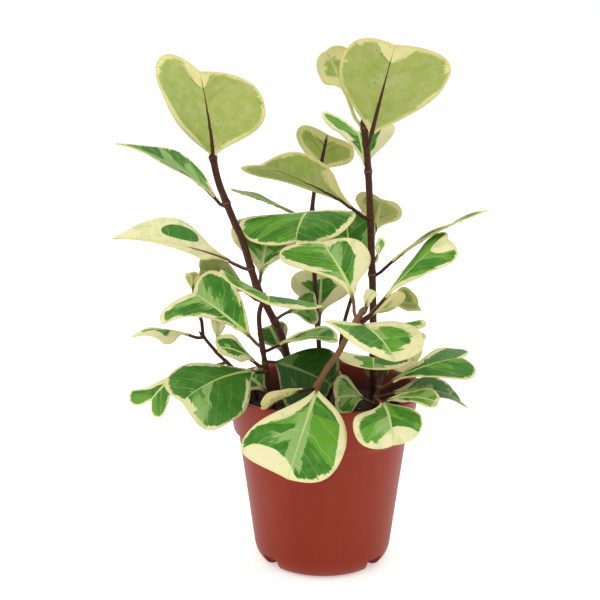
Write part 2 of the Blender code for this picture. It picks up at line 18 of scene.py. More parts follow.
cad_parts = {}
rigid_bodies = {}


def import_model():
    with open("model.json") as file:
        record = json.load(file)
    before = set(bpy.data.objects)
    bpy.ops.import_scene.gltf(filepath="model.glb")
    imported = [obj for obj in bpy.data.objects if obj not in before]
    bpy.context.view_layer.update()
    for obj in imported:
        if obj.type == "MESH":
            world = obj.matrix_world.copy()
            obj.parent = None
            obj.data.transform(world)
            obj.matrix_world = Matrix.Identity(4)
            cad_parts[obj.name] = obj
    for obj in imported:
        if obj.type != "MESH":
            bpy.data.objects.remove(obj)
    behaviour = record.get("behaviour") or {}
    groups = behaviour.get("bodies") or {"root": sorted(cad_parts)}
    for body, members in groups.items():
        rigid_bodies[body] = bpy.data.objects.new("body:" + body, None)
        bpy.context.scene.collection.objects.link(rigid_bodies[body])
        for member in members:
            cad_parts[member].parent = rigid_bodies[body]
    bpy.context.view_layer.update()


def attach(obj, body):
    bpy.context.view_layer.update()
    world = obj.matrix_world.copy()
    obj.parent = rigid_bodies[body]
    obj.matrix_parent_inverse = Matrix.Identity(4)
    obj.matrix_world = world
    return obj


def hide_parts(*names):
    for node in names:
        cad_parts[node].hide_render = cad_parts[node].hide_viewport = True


MM = 0.001
ROOT_BODY = "root"
LOG = logging.getLogger("mistletoe_fig")

Point = tuple[float, float, float]
Color = tuple[float, float, float]
Sided = float | tuple[float, float]
Socket = bpy.types.NodeSocket
Input = Socket | float | Color

# Pattern of the blades: side veins, the panels between them, and the zones that streaks move
VEIN_SLANT = 0.72
SMALL_PANELS = 0.12
WIDE_PANELS = 0.055
STREAK_GAINS = (4.0, 9.0, 0.5)
PANEL_REACH = 2.4
LEAST_MARGIN = 0.45
# Colour that the painted shade of a leaf multiplies towards
DEEP_SHADE = (0.03, 0.09, 0.03)
CLOUD_TINT = (0.35, 0.42, 0.2)


def linear(code: str) -> Color:
    """Linear colour of a six-digit hexadecimal display colour."""
    shares = [int(code[i:i + 2], 16) / 255.0 for i in (0, 2, 4)]
    return tuple(s / 12.92 if s <= 0.04045 else ((s + 0.055) / 1.055) ** 2.4 for s in shares)


class Side(Enum):
    """Half of a leaf blade, seen from above with the tip away from the viewer."""

    LEFT = -1
    RIGHT = 1


class Tone(Enum):
    """Colour zone of a variegated blade."""

    CREAM = "cream"
    GREEN = "green"
    GREY = "grey"
    DARK = "dark"


# What a patch of each tone adds to the cream, grey and dark zones
ZONE_GAINS = {
    Tone.CREAM: (1.0, 0.0, 0.0),
    Tone.GREEN: (-1.0, -0.6, 0.0),
    Tone.GREY: (0.0, 1.0, 0.0),
    Tone.DARK: (-1.0, -0.6, 0.05),
}


class Graph:
    """Node tree of one material, with short calls for the nodes that it needs."""

    def __init__(self, name: str) -> None:
        """Start a material.

        Args:
            name: Name of the material.
        """
        self.material = bpy.data.materials.new(name)
        self.material.use_nodes = True
        self.tree = self.material.node_tree
        self.shader = self.tree.nodes["Principled BSDF"]

    def feed(self, socket: Socket, value: Input) -> None:
        """Link a socket into another, or set it to a plain value.

        Args:
            socket: The input to fill.
            value: An output socket, a number or a colour.
        """
        if isinstance(value, Socket):
            self.tree.links.new(value, socket)
        elif isinstance(value, tuple) and socket.type == "RGBA":
            socket.default_value = (*value[:3], 1.0)
        else:
            socket.default_value = value

    def node(self, kind: str, inputs: dict | None = None, **settings: object) -> bpy.types.Node:
        """Add a node.

        Args:
            kind: Type of the node without its ShaderNode prefix.
            inputs: Values or links by the name or number of the input.
            **settings: Properties of the node.

        Returns:
            The node.
        """
        made = self.tree.nodes.new("ShaderNode" + kind)
        for key, value in settings.items():
            setattr(made, key, value)
        for key, value in (inputs or {}).items():
            self.feed(made.inputs[key], value)
        return made

    def math(self, operation: str, *values: Input, clamp: bool = False) -> Socket:
        """Result of a Math node on up to three values."""
        made = self.node("Math", dict(enumerate(values)), operation=operation, use_clamp=clamp)
        return made.outputs[0]

    def vector(self, operation: str, *values: Input) -> Socket:
        """Result of a Vector Math node on one or two vectors.

        Args:
            operation: Operation of the node.
            *values: One or two vectors.

        Returns:
            The resulting vector.
        """
        made = self.node("VectorMath", operation=operation)
        for socket, value in zip(made.inputs, values):
            self.feed(socket, value)
        return made.outputs[0]

    def join(self, x: Input, y: Input, z: Input) -> Socket:
        """Vector of three values."""
        return self.node("CombineXYZ", {0: x, 1: y, 2: z}).outputs[0]

    def parts(self, vector: Input) -> tuple[Socket, ...]:
        """The three values of a vector or a colour."""
        return tuple(self.node("SeparateXYZ", {0: vector}).outputs)

    def attribute(self, name: str, output: str = "Fac") -> Socket:
        """A value stored on the mesh."""
        return self.node("Attribute", attribute_name=name).outputs[output]

    def place(self) -> Socket:
        """Place on the object in metres."""
        return self.node("TexCoord").outputs["Object"]

    def noise(self, vector: Input, scale: float, detail: float = 2.0, rough: float = 0.5,
              output: int = 0) -> Socket:
        """Value or colour of a noise pattern.

        Args:
            vector: Where to read the pattern.
            scale: Its scale.
            detail: Number of finer layers.
            rough: Strength of the finer layers.
            output: 0 for the value, 1 for the colour.

        Returns:
            The output.
        """
        made = self.node("TexNoise", {"Vector": vector, "Scale": scale, "Detail": detail,
                                      "Roughness": rough})
        return made.outputs[output]

    def cells(self, vector: Input, scale: float, output: str = "Color") -> Socket:
        """Random colour of, or distance within, the cells of a pattern."""
        return self.node("TexVoronoi", {"Vector": vector, "Scale": scale}).outputs[output]

    def step(self, value: Input, low: float, high: float, start: float = 0.0,
             end: float = 1.0) -> Socket:
        """Smooth step of a value between two limits.

        Args:
            value: The value.
            low: Where the step begins.
            high: Where the step ends.
            start: Result below the step.
            end: Result above the step.

        Returns:
            The result.
        """
        made = self.node("MapRange", {"Value": value, 1: low, 2: high, 3: start, 4: end},
                         interpolation_type="SMOOTHSTEP")
        return made.outputs[0]

    def mix(self, share: Input, low: Input, high: Input,
            blend: str = "MIX") -> Socket:
        """Blend of two colours.

        Args:
            share: Part of the second colour.
            low: First colour.
            high: Second colour.
            blend: Blend type of the node.

        Returns:
            The colour output.
        """
        made = self.node("Mix", data_type="RGBA", blend_type=blend)
        self.feed(made.inputs[0], share)
        self.feed(made.inputs[6], low)
        self.feed(made.inputs[7], high)
        return made.outputs[2]

    def finish(self, color: Input, roughness: Input, height: Input, depth: float,
               strength: float = 1.0) -> bpy.types.Material:
        """Fill the surface shader.

        Args:
            color: Base colour.
            roughness: Roughness.
            height: Height pattern for the bump, from 0 to 1.
            depth: Height of the bump in millimetres.
            strength: Strength of the bump.

        Returns:
            The finished material.
        """
        bump = self.node("Bump", {"Strength": strength, "Distance": depth * MM, "Height": height})
        self.feed(self.shader.inputs["Base Color"], color)
        self.feed(self.shader.inputs["Roughness"], roughness)
        self.feed(self.shader.inputs["Normal"], bump.outputs[0])
        return self.material


@dataclass(frozen=True)
class BladeSpot:
    """Sockets that tell where on which leaf a shaded point lies, in millimetres.

    Attributes:
        spot: Along, across and leaf number as one vector.
        along: Distance from the foot of the blade.
        across: Distance from the midrib, below zero on the left half.
        leaf: Number of the leaf.
        off_rib: Distance from the midrib on either half.
        rim: Distance to the margin.
    """

    spot: Socket
    along: Socket
    across: Socket
    leaf: Socket
    off_rib: Socket
    rim: Socket

    @classmethod
    def read(cls, g: Graph) -> "BladeSpot":
        """Read what the mesh stores."""
        spot = g.attribute("spot", "Vector")
        along, across, leaf = g.parts(spot)
        return cls(spot, along, across, leaf, g.math("ABSOLUTE", across), g.attribute("rim"))

    def laid(self, g: Graph, spread: float, half_gap: float, leaf_gap: float) -> Socket:
        """Place slanted as the side veins run, in a region of its own for each half and leaf.

        Args:
            g: Node tree of the finish.
            spread: Share of the distance across that is kept, so that patterns stretch along a vein.
            half_gap: Distance of each half's region from the middle.
            leaf_gap: Distance between the regions of two leaves.

        Returns:
            The place as a vector.
        """
        slanted = g.math("SUBTRACT", self.along, g.math("MULTIPLY", self.off_rib, VEIN_SLANT))
        half = g.math("MULTIPLY", g.math("SIGN", self.across), half_gap)
        own = g.math("ADD", half, g.math("MULTIPLY", self.leaf, leaf_gap))
        return g.join(slanted, g.math("MULTIPLY", self.off_rib, spread), own)


@dataclass(frozen=True)
class BladeFinish:
    """Skin of one face of the leaves, with zones that follow the side veins.

    The mesh stores, in millimetres: spot (along, across, leaf number), rim (distance to the margin),
    vein (count of side veins), marks (more cream, more grey, more dark), habit (width of the pale
    margin, reach of the brown stalk, spacing of the side veins) and shade (painted shade, 0 to 1).
    """

    name: str
    cream: Color
    rim_tint: Color
    green: Color
    dark: Color
    grey: Color
    rib: Color
    rib_foot: Color
    vein_light: float
    roughness: float
    specular: float
    rib_reach: float
    bleed: float = 1.0
    softness: float = 0.45
    zoned: float = 1.0
    mottled: float = 0.26
    freckles: float = 0.0
    dark_veins: float = 0.0

    def build(self) -> bpy.types.Material:
        """Make the material.

        Returns:
            The finished material.
        """
        g = Graph(self.name)
        b = BladeSpot.read(g)
        margin, brown, spacing = g.parts(g.attribute("habit", "Vector"))
        marks = g.parts(g.attribute("marks", "Vector"))
        ragged, streak = self.ragged(g, b), self.streaks(g, b)
        small, wide = (g.parts(g.cells(ragged, scale)) for scale in (SMALL_PANELS, WIDE_PANELS))
        more_cream, more_grey, more_dark = (
            g.math("ADD", mark, g.math("MULTIPLY", streak, gain))
            for mark, gain in zip(marks, STREAK_GAINS))
        cream = self.cream_share(g, b, small[0], wide[1], margin, more_cream)
        grey = self.grey_share(g, b, small[1], wide[2], more_grey)
        dark = self.dark_share(g, small[2], wide[0], more_dark)
        mottle = g.math("ADD", g.noise(b.spot, 0.14, 4.0, 0.6), g.math("MULTIPLY", streak, 0.4))
        color = g.mix(g.math("MULTIPLY", dark, self.zoned), self.green, self.dark)
        color = g.mix(g.math("MULTIPLY", grey, self.zoned), color, self.grey)
        color = g.mix(g.step(mottle, 0.35, 0.8, 0.0, self.mottled), color, self.grey)
        color = g.mix(cream, color, self.pale(g, b, mottle, small[1]))
        vein = self.vein_share(g, b, spacing)
        color = g.mix(g.math("MULTIPLY", vein, self.vein_light), color, self.cream)
        color = self.aged(g, b, color, vein, brown)
        color = self.ribbed(g, b, color, brown)
        # Painted shade: darken the whole leaf by its shade value
        color = g.mix(g.attribute("shade"), color, DEEP_SHADE, "MULTIPLY")
        cloud = g.step(g.noise(g.place(), 45.0, 3.0), 0.3, 0.72, 0.0, 0.22)
        color = g.mix(cloud, color, CLOUD_TINT, "SOFT_LIGHT")
        rough = g.math("ADD", g.math("MULTIPLY", mottle, 0.22), self.roughness - 0.1)
        rough = g.math("ADD", rough, g.math("MULTIPLY", cream, 0.08))
        grain = g.math("MULTIPLY", g.noise(g.place(), 2600.0, 2.0), 0.35)
        height = g.math("ADD", grain, g.math("MULTIPLY", vein, -0.6))
        g.shader.inputs["Specular IOR Level"].default_value = self.specular
        return g.finish(color, rough, height, 0.12, 0.6)

    def ragged(self, g: Graph, b: BladeSpot) -> Socket:
        """Place for the panels, stretched along the side veins and frayed.

        Args:
            g: Node tree of the finish.
            b: Where the shaded point lies.

        Returns:
            The place as a vector.
        """
        fray = g.vector("SUBTRACT", g.noise(b.spot, 0.4, 3.0, 0.6, 1), (0.5, 0.5, 0.5))
        return g.vector("ADD", b.laid(g, 0.4, 41.0, 93.0), g.vector("MULTIPLY", fray, (2.6, 1.6, 0.0)))

    def streaks(self, g: Graph, b: BladeSpot) -> Socket:
        """Fine streaks that run as the side veins do, about zero."""
        return g.math("SUBTRACT", g.noise(b.laid(g, 0.18, 3.0, 7.0), 0.7, 4.0, 0.7), 0.5)

    def pale(self, g: Graph, b: BladeSpot, mottle: Socket, panel: Socket) -> Socket:
        """Colour of the parts without green, tinted at the rim and stained in places.

        Args:
            g: Node tree of the finish.
            b: Where the shaded point lies.
            mottle: The blotches.
            panel: Random value of the small panel.

        Returns:
            The colour.
        """
        tinted = g.mix(g.step(b.rim, 0.0, 2.2), self.rim_tint, self.cream)
        stain = g.math("ADD", mottle, g.math("MULTIPLY", panel, 0.3))
        return g.mix(g.step(stain, 0.62, 0.86, 0.0, 0.3), tinted, self.grey)

    def cream_share(self, g: Graph, b: BladeSpot, small: Socket, wide: Socket, margin: Socket,
                    mark: Socket) -> Socket:
        """Where the blade has no green: a margin of uneven width that runs in between the veins.

        Args:
            g: Node tree of the finish.
            b: Where the shaded point lies.
            small: Random value of the small panel.
            wide: Random value of the wide panel.
            margin: Width of the leaf's pale margin.
            mark: Gain at this place.

        Returns:
            The share of cream.
        """
        reach = g.math("MULTIPLY", g.math("POWER", small, 3.0), PANEL_REACH)
        reach = g.math("ADD", reach, g.math("MULTIPLY", g.math("POWER", wide, 4.0), PANEL_REACH))
        reach = g.math("MULTIPLY", g.math("ADD", g.math("ADD", reach, margin), mark), self.bleed)
        edge = g.math("MAXIMUM", reach, LEAST_MARGIN)
        return g.step(g.math("SUBTRACT", edge, b.rim), -self.softness, self.softness)

    def grey_share(self, g: Graph, b: BladeSpot, small: Socket, wide: Socket,
                   mark: Socket) -> Socket:
        """Pale grey-green zone along the midrib and in some of the panels.

        Args:
            g: Node tree of the finish.
            b: Where the shaded point lies.
            small: Random value of the small panel.
            wide: Random value of the wide panel.
            mark: Gain at this place.

        Returns:
            The share of grey-green.
        """
        reach = g.math("MULTIPLY", g.math("SUBTRACT", small, 0.62), 14.0)
        reach = g.math("ADD", reach, g.math("MULTIPLY", g.math("SUBTRACT", wide, 0.6), 10.0))
        reach = g.math("ADD", reach, mark)
        return g.step(g.math("SUBTRACT", reach, g.math("MULTIPLY", b.off_rib, 0.45)), -1.0, 1.0)

    def dark_share(self, g: Graph, small: Socket, wide: Socket, mark: Socket) -> Socket:
        """Deeper green panels."""
        mixed = g.math("ADD", g.math("MULTIPLY", small, 0.5), g.math("MULTIPLY", wide, 0.5))
        return g.step(g.math("ADD", mixed, mark), 0.46, 0.6)

    def vein_share(self, g: Graph, b: BladeSpot, spacing: Socket) -> Socket:
        """Thin side veins that fade towards the margin.

        Args:
            g: Node tree of the finish.
            b: Where the shaded point lies.
            spacing: Distance between the leaf's side veins.

        Returns:
            The share of vein.
        """
        gap = g.math("MULTIPLY", g.math("PINGPONG", g.attribute("vein"), 0.5), spacing)
        line = g.step(gap, 0.1, 0.42, 1.0, 0.0)
        line = g.math("MULTIPLY", line, g.step(b.rim, 0.8, 5.0))
        return g.math("MULTIPLY", line, g.step(g.noise(b.spot, 0.12, 2.0), 0.3, 0.65, 0.15, 1.0))

    def aged(self, g: Graph, b: BladeSpot, color: Socket, vein: Socket, brown: Socket) -> Socket:
        """Brown freckles, and brown side veins where the brown part of the midrib ends.

        Args:
            g: Node tree of the finish.
            b: Where the shaded point lies.
            color: The colour so far.
            vein: The share of vein.
            brown: Reach of the brown part of the midrib.

        Returns:
            The colour.
        """
        dots = g.step(g.cells(b.spot, 0.4, "Distance"), 0.08, 0.2, 1.0, 0.0)
        crowd = g.step(g.noise(b.spot, 0.07, 2.0), 0.5, 0.62, 0.0, self.freckles)
        color = g.mix(g.math("MULTIPLY", dots, crowd), color, self.rib_foot)
        near = g.step(g.math("ABSOLUTE", g.math("SUBTRACT", b.along, brown)), 3.0, 15.0, 1.0, 0.0)
        near = g.math("MULTIPLY", near, g.step(b.off_rib, 3.0, 15.0, self.dark_veins, 0.0))
        return g.mix(g.math("MULTIPLY", near, vein), color, self.rib_foot)

    def ribbed(self, g: Graph, b: BladeSpot, color: Socket, brown: Socket) -> Socket:
        """Midrib and stalk: brown near the stem, pale further on.

        Args:
            g: Node tree of the finish.
            b: Where the shaded point lies.
            color: The colour so far.
            brown: Reach of the brown part of the midrib.

        Returns:
            The colour.
        """
        width = g.step(b.along, 0.0, 42.0, 1.05, 0.28)
        share = g.step(g.math("SUBTRACT", b.off_rib, width), -0.25, 0.12, 1.0, 0.0)
        reach = g.math("MULTIPLY", brown, self.rib_reach)
        aged = g.step(g.math("SUBTRACT", b.along, reach), -3.0, 3.0, 1.0, 0.0)
        return g.mix(share, color, g.mix(aged, self.rib, self.rib_foot))


@dataclass(frozen=True)
class BarkFinish:
    """Young bark: fine ridges along the shoot, pale corky dots and a pale ring at each node."""

    name: str
    bark: Color
    young: Color
    cork: Color

    def build(self) -> bpy.types.Material:
        """Make the material.

        Returns:
            The finished material.
        """
        g = Graph(self.name)
        spot = g.attribute("spot", "Vector")
        fine = g.vector("MULTIPLY", spot, (0.25, 1.6, 1.0))
        ridges = g.noise(fine, 1.7, 4.0, 0.65)
        age = g.attribute("age")
        color = g.mix(g.step(age, 0.45, 1.1), self.bark, self.young)
        color = g.mix(g.step(ridges, 0.4, 0.8, 0.0, 0.4), color, self.cork)
        dots = g.cells(g.vector("MULTIPLY", spot, (1.0, 1.4, 1.0)), 0.42, "Distance")
        dots = g.step(dots, 0.13, 0.2, 1.0, 0.0)
        color = g.mix(g.math("MULTIPLY", dots, 0.6), color, self.cork)
        ring = g.step(g.attribute("ring"), 0.25, 0.75, 1.0, 0.0)
        color = g.mix(g.math("MULTIPLY", ring, 0.55), color, self.cork)
        height = g.math("ADD", g.math("MULTIPLY", ridges, 0.7), g.math("MULTIPLY", dots, 0.6))
        rough = g.math("ADD", g.math("MULTIPLY", ridges, 0.25), 0.42)
        g.shader.inputs["Specular IOR Level"].default_value = 0.12
        return g.finish(color, rough, height, 0.2, 0.7)


@dataclass(frozen=True)
class PotFinish:
    """Satin moulded plastic with a fine grain, faint flow marks and rubbed dusty edges."""

    name: str
    plastic: Color
    worn: Color
    dust: Color
    soil_stain_and_shade: Color

    def build(self) -> bpy.types.Material:
        """Make the material.

        Returns:
            The finished material.
        """
        g = Graph(self.name)
        place = g.place()
        cloud = g.noise(g.vector("MULTIPLY", place, (1.0, 1.0, 0.35)), 26.0, 4.0, 0.55)
        flow = g.noise(g.vector("MULTIPLY", place, (1.0, 1.0, 0.06)), 240.0, 2.0)
        grain = g.noise(place, 3200.0, 2.0)
        x, y, height = g.parts(place)
        color = g.mix(g.step(cloud, 0.35, 0.7, 0.0, 0.35), self.plastic, self.worn)
        color = g.mix(g.step(flow, 0.4, 0.75, 0.0, 0.18), color, self.worn)
        foot = g.step(height, 0.0, 0.012, 0.4, 0.0)
        specks = g.step(g.noise(place, 700.0, 3.0, 0.7), 0.6, 0.75)
        dusty = g.math("MULTIPLY", g.math("ADD", foot, 0.06), g.math("ADD", specks, cloud))
        color = g.mix(g.math("MULTIPLY", dusty, 0.5), color, self.dust)
        # Inner wall darkened near the mix: soil stain and painted shade
        color = g.mix(self.stain(g, x, y, height, cloud), color, self.soil_stain_and_shade)
        rough = g.math("ADD", g.math("MULTIPLY", cloud, 0.16), 0.36)
        rough = g.math("ADD", rough, g.math("MULTIPLY", specks, 0.08))
        relief = g.math("ADD", g.math("MULTIPLY", grain, 0.5), g.math("MULTIPLY", flow, 0.8))
        g.shader.inputs["Specular IOR Level"].default_value = 0.16
        return g.finish(color, rough, relief, 0.06, 0.5)

    def stain(self, g: Graph, x: Socket, y: Socket, height: Socket, cloud: Socket) -> Socket:
        """Share of darkening on the inner wall, strongest beside the potting mix: soil stain and
        painted shade of the collar's hollow.

        Args:
            g: Node tree of the finish.
            x: Place to the right.
            y: Place to the back.
            height: Height above the ground.
            cloud: Broad uneven pattern.

        Returns:
            The share of stain.
        """
        reach = g.math("SQRT", g.math("ADD", g.math("MULTIPLY", x, x), g.math("MULTIPLY", y, y)))
        wall = g.math("ADD", g.math("MULTIPLY", height, 0.17), 0.0388)
        inner = g.step(g.math("SUBTRACT", reach, wall), -0.0003, 0.0003, 1.0, 0.0)
        low = g.step(g.math("ADD", height, g.math("MULTIPLY", cloud, 0.008)), 0.094, 0.11, 0.85, 0.3)
        collar = g.step(height, 0.0825, 0.0835)
        return g.math("MULTIPLY", g.math("MULTIPLY", inner, collar), low)


@dataclass(frozen=True)
class MixFinish:
    """Peat and bark crumbs: dark, dull and lumpy, with paler fibres and grains."""

    name: str
    peat: Color
    fibre: Color
    grain: Color

    def build(self) -> bpy.types.Material:
        """Make the material.

        Returns:
            The finished material.
        """
        g = Graph(self.name)
        place = g.place()
        clumps = g.cells(place, 420.0, "Distance")
        speck = g.noise(place, 900.0, 4.0, 0.7)
        tone = g.attribute("tone")
        color = g.mix(g.step(speck, 0.4, 0.72, 0.0, 0.8), self.peat, self.fibre)
        color = g.mix(g.step(tone, 0.55, 0.8, 0.0, 0.7), color, self.fibre)
        color = g.mix(g.step(tone, 0.93, 0.96), color, self.grain)
        height = g.math("ADD", g.math("MULTIPLY", clumps, 0.8), speck)
        rough = g.math("ADD", g.math("MULTIPLY", speck, 0.15), 0.8)
        g.shader.inputs["Specular IOR Level"].default_value = 0.2
        return g.finish(color, rough, height, 0.6, 0.8)


@dataclass(frozen=True)
class FloorFinish:
    """Matt white studio floor."""

    name: str
    white: Color
    shade: Color
    glow: float = 0.35

    def build(self) -> bpy.types.Material:
        """Make the material.

        Returns:
            The finished material.
        """
        g = Graph(self.name)
        cloud = g.noise(g.place(), 3.0, 2.0)
        grain = g.noise(g.place(), 900.0, 2.0)
        color = g.mix(g.step(cloud, 0.3, 0.7), self.white, self.shade)
        g.shader.inputs["Specular IOR Level"].default_value = 0.1
        g.shader.inputs["Emission Color"].default_value = (1.0, 1.0, 1.0, 1.0)
        g.shader.inputs["Emission Strength"].default_value = self.glow
        return g.finish(color, g.math("ADD", g.math("MULTIPLY", grain, 0.1), 0.85), grain, 0.02, 0.2)


UPPER = BladeFinish(
    name="leaf_upper", cream=linear("DAD4A6"), rim_tint=linear("DBCF98"), green=linear("58911F"),
    dark=linear("326F14"), grey=linear("86A75F"), rib=linear("BCC985"), rib_foot=linear("6E4D33"),
    vein_light=0.22, roughness=0.5, specular=0.17, rib_reach=0.45)
UNDER = BladeFinish(
    name="leaf_under", cream=linear("CFC78C"), rim_tint=linear("CDBF80"), green=linear("93A04E"),
    dark=linear("869548"), grey=linear("B0AE7C"), rib=linear("B2B673"), rib_foot=linear("42251A"),
    vein_light=0.08, roughness=0.6, specular=0.15, rib_reach=1.0, bleed=0.9, softness=0.9,
    zoned=0.35, mottled=0.6, freckles=0.7, dark_veins=0.7)
EDGE = BladeFinish(
    name="leaf_edge", cream=linear("D6CD9A"), rim_tint=linear("D2C48A"), green=linear("BDBE7C"),
    dark=linear("ADB06C"), grey=linear("BDBB86"), rib=linear("B8AE74"), rib_foot=linear("42251A"),
    vein_light=0.1, roughness=0.5, specular=0.2, rib_reach=1.0)
BARK = BarkFinish(name="stem_bark", bark=linear("3A1D12"), young=linear("7C5A38"),
                  cork=linear("7A5A42"))
PLASTIC = PotFinish(name="pot_plastic", plastic=linear("7B2009"), worn=linear("873019"),
                    dust=linear("B08070"), soil_stain_and_shade=linear("2B1B13"))
PEAT = MixFinish(name="potting_mix", peat=linear("1E140E"), fibre=linear("4A3727"),
                 grain=linear("CFCABE"))
FLOOR = FloorFinish(name="studio_floor", white=linear("FAFAF9"), shade=linear("F5F5F4"))


@dataclass(frozen=True)
class LeafShape:
    """Form of a leaf: a stalk, then a wedge-shaped blade with two round lobes at its far end.

    Lengths are in millimetres and shares are of the blade's length. A pair of values gives the left
    and the right half their own.

    Attributes:
        petiole: Length of the stalk.
        lift: Way that the stalk sets off: 0 is straight at the leaf's tip, 1 is along its stem.
        arch: How far the midrib bows towards the upper face.
        fold: Angle in degrees at which a half rises from the midrib.
        cup: Further angle in degrees by its margin.
        twist: Angle in degrees that the blade turns about its midrib from foot to end.
        lean: Share by which the right half is set forward and the left half back.
        bias: Part by which the right half is wider and the left half narrower.
        notch: Share by which a lobe swells out past the midrib's end.
        widest: Share at which a half is widest.
        corner: Share over which the outer end of a lobe is rounded.
        wedge: Share over which the foot stays narrow.
        shoulder: Share over which the long edge rounds into the widest place.
        wave: Height of the waves at the margin.
        waves: Number of the waves.
    """

    petiole: float = 7.0
    lift: float = 0.3
    arch: float = 3.0
    fold: Sided = 8.0
    cup: Sided = 0.0
    twist: float = 0.0
    lean: float = 0.0
    bias: float = 0.0
    notch: Sided = 0.07
    widest: Sided = 0.68
    corner: Sided = 0.28
    wedge: Sided = 0.32
    shoulder: Sided = 0.3
    wave: float = 0.8
    waves: float = 1.5

    def on(self, name: str, side: Side) -> float:
        """A size that may differ between the left and the right half."""
        value = getattr(self, name)
        return value[side is Side.RIGHT] if isinstance(value, tuple) else value


@dataclass(frozen=True)
class Patch:
    """A soft oval on the blade that has more or less of one colour zone.

    Attributes:
        tone: The zone that gains.
        u: Place from foot to end.
        v: Place from the left margin, -1, to the right one, 1.
        reach_u: Half length of the oval.
        reach_v: Half width of the oval.
        gain: How far the zone's border moves, in millimetres, or less than zero to lose it.
    """

    tone: Tone
    u: float
    v: float
    reach_u: float
    reach_v: float
    gain: float = 12.0


@dataclass(frozen=True)
class LeafLook:
    """Colour habit of one leaf.

    Attributes:
        margin: Width of the pale margin in millimetres.
        brown: Reach of the brown part of the midrib in millimetres.
        grey: Gain of the grey-green zone in millimetres.
        dark: Gain of the dark panels, as a share.
        shade: Painted shade that darkens the whole leaf, from 0 to 1.
        patches: Ovals where a zone gains or loses.
    """

    margin: float = 1.0
    brown: float = 6.0
    grey: float = 0.0
    dark: float = 0.0
    shade: float = 0.0
    patches: tuple[Patch, ...] = ()


def unit(values: np.ndarray) -> np.ndarray:
    """Vectors of length one along the last axis."""
    return values / np.linalg.norm(values, axis=-1, keepdims=True)


def bezier(points: list[np.ndarray], share: np.ndarray) -> np.ndarray:
    """Points of a curve given by its control points, at each share of its run.

    Args:
        points: Control points.
        share: Shares of the run.

    Returns:
        A point for each share.
    """
    level = [np.broadcast_to(point, (len(share), 3)) for point in points]
    share = share[:, None]
    while len(level) > 1:
        level = [a + (b - a) * share for a, b in zip(level, level[1:])]
    return level[0]


class Path:
    """A polyline with the distance along it."""

    def __init__(self, points: np.ndarray) -> None:
        """Keep the points and measure them.

        Args:
            points: Points along the path.
        """
        self.points = points
        steps = np.linalg.norm(np.diff(points, axis=0), axis=1)
        self.marks = np.concatenate([[0.0], np.cumsum(steps)])
        self.length = float(self.marks[-1])

    def at(self, distance: np.ndarray) -> np.ndarray:
        """Points at distances from the start, run on straight beyond the ends.

        Args:
            distance: Distances from the start.

        Returns:
            A point for each distance.
        """
        index = np.clip(np.searchsorted(self.marks, distance), 1, len(self.marks) - 1)
        low, high = self.marks[index - 1], self.marks[index]
        share = ((distance - low) / (high - low))[..., None]
        return self.points[index - 1] * (1.0 - share) + self.points[index] * share

    def along(self, distance: np.ndarray, reach: float = 0.5) -> np.ndarray:
        """Direction at distances from the start."""
        spot = np.clip(distance, reach, self.length - reach)
        return unit(self.at(spot + reach) - self.at(spot - reach))


def path_through(knots: tuple[Point, ...], samples: int = 12) -> Path:
    """A smooth path through points.

    Args:
        knots: The points.
        samples: Points made for each span.

    Returns:
        The path.
    """
    points = [np.array(knot, float) for knot in knots]
    points = [2 * points[0] - points[1]] + points + [2 * points[-1] - points[-2]]
    share = np.arange(samples)[:, None] / samples
    pieces = []
    for a, b, c, d in zip(points, points[1:], points[2:], points[3:]):
        pieces.append(0.5 * (2 * b + (c - a) * share + (2 * a - 5 * b + 4 * c - d) * share ** 2
                             + (3 * b - a - 3 * c + d) * share ** 3))
    pieces.append(points[-2][None, :])
    return Path(np.concatenate(pieces))


def add_piece(name: str, mesh: bpy.types.Mesh,
              nodes: tuple[str, ...] = ()) -> bpy.types.Object:
    """Put a finished mesh in the scene as a piece of the plant.

    Args:
        name: Name of the piece.
        mesh: Its mesh, in metres and in place.
        nodes: CAD nodes that it stands for.

    Returns:
        The object.
    """
    piece = bpy.data.objects.new(name, mesh)
    bpy.context.scene.collection.objects.link(piece)
    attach(piece, ROOT_BODY)
    if nodes:
        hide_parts(*nodes)
    return piece


def grid(rows: int, columns: int) -> tuple[bmesh.types.BMesh, np.ndarray, np.ndarray]:
    """A flat grid.

    Args:
        rows: Number of cells in one direction.
        columns: Number of cells in the other.

    Returns:
        The bmesh, and the row and column of each vertex.
    """
    bm = bmesh.new()
    bmesh.ops.create_grid(bm, x_segments=rows, y_segments=columns, size=1.0)
    spots = np.array([vert.co[:2] for vert in bm.verts])
    row = np.rint((spots[:, 0] + 1.0) / 2.0 * rows).astype(int)
    column = np.rint((spots[:, 1] + 1.0) / 2.0 * columns).astype(int)
    return bm, row, column


def place_verts(bm: bmesh.types.BMesh, places: np.ndarray) -> None:
    """Move each vertex of a bmesh to a place in millimetres."""
    for vert, spot in zip(bm.verts, places):
        vert.co = Vector(spot) * MM


def store_on(bm: bmesh.types.BMesh, name: str, values: np.ndarray) -> None:
    """Keep a number or a vector for each vertex of a bmesh.

    Args:
        bm: The bmesh.
        name: Name of the attribute.
        values: A value or a vector for each vertex, in order.
    """
    layers = bm.verts.layers
    layer = layers.float.new(name) if values.ndim == 1 else layers.float_vector.new(name)
    for vert, value in zip(bm.verts, values):
        vert[layer] = float(value) if values.ndim == 1 else Vector(value)


def mesh_of(bm: bmesh.types.BMesh, name: str, *finishes: bpy.types.Material) -> bpy.types.Mesh:
    """Smooth-shaded mesh of a bmesh, with its finishes.

    Args:
        bm: The bmesh, which is freed.
        name: Name of the mesh.
        *finishes: Materials of its slots.

    Returns:
        The mesh.
    """
    mesh = bpy.data.meshes.new(name)
    bm.to_mesh(mesh)
    bm.free()
    mesh.polygons.foreach_set("use_smooth", [True] * len(mesh.polygons))
    for finish in finishes:
        mesh.materials.append(finish)
    return mesh


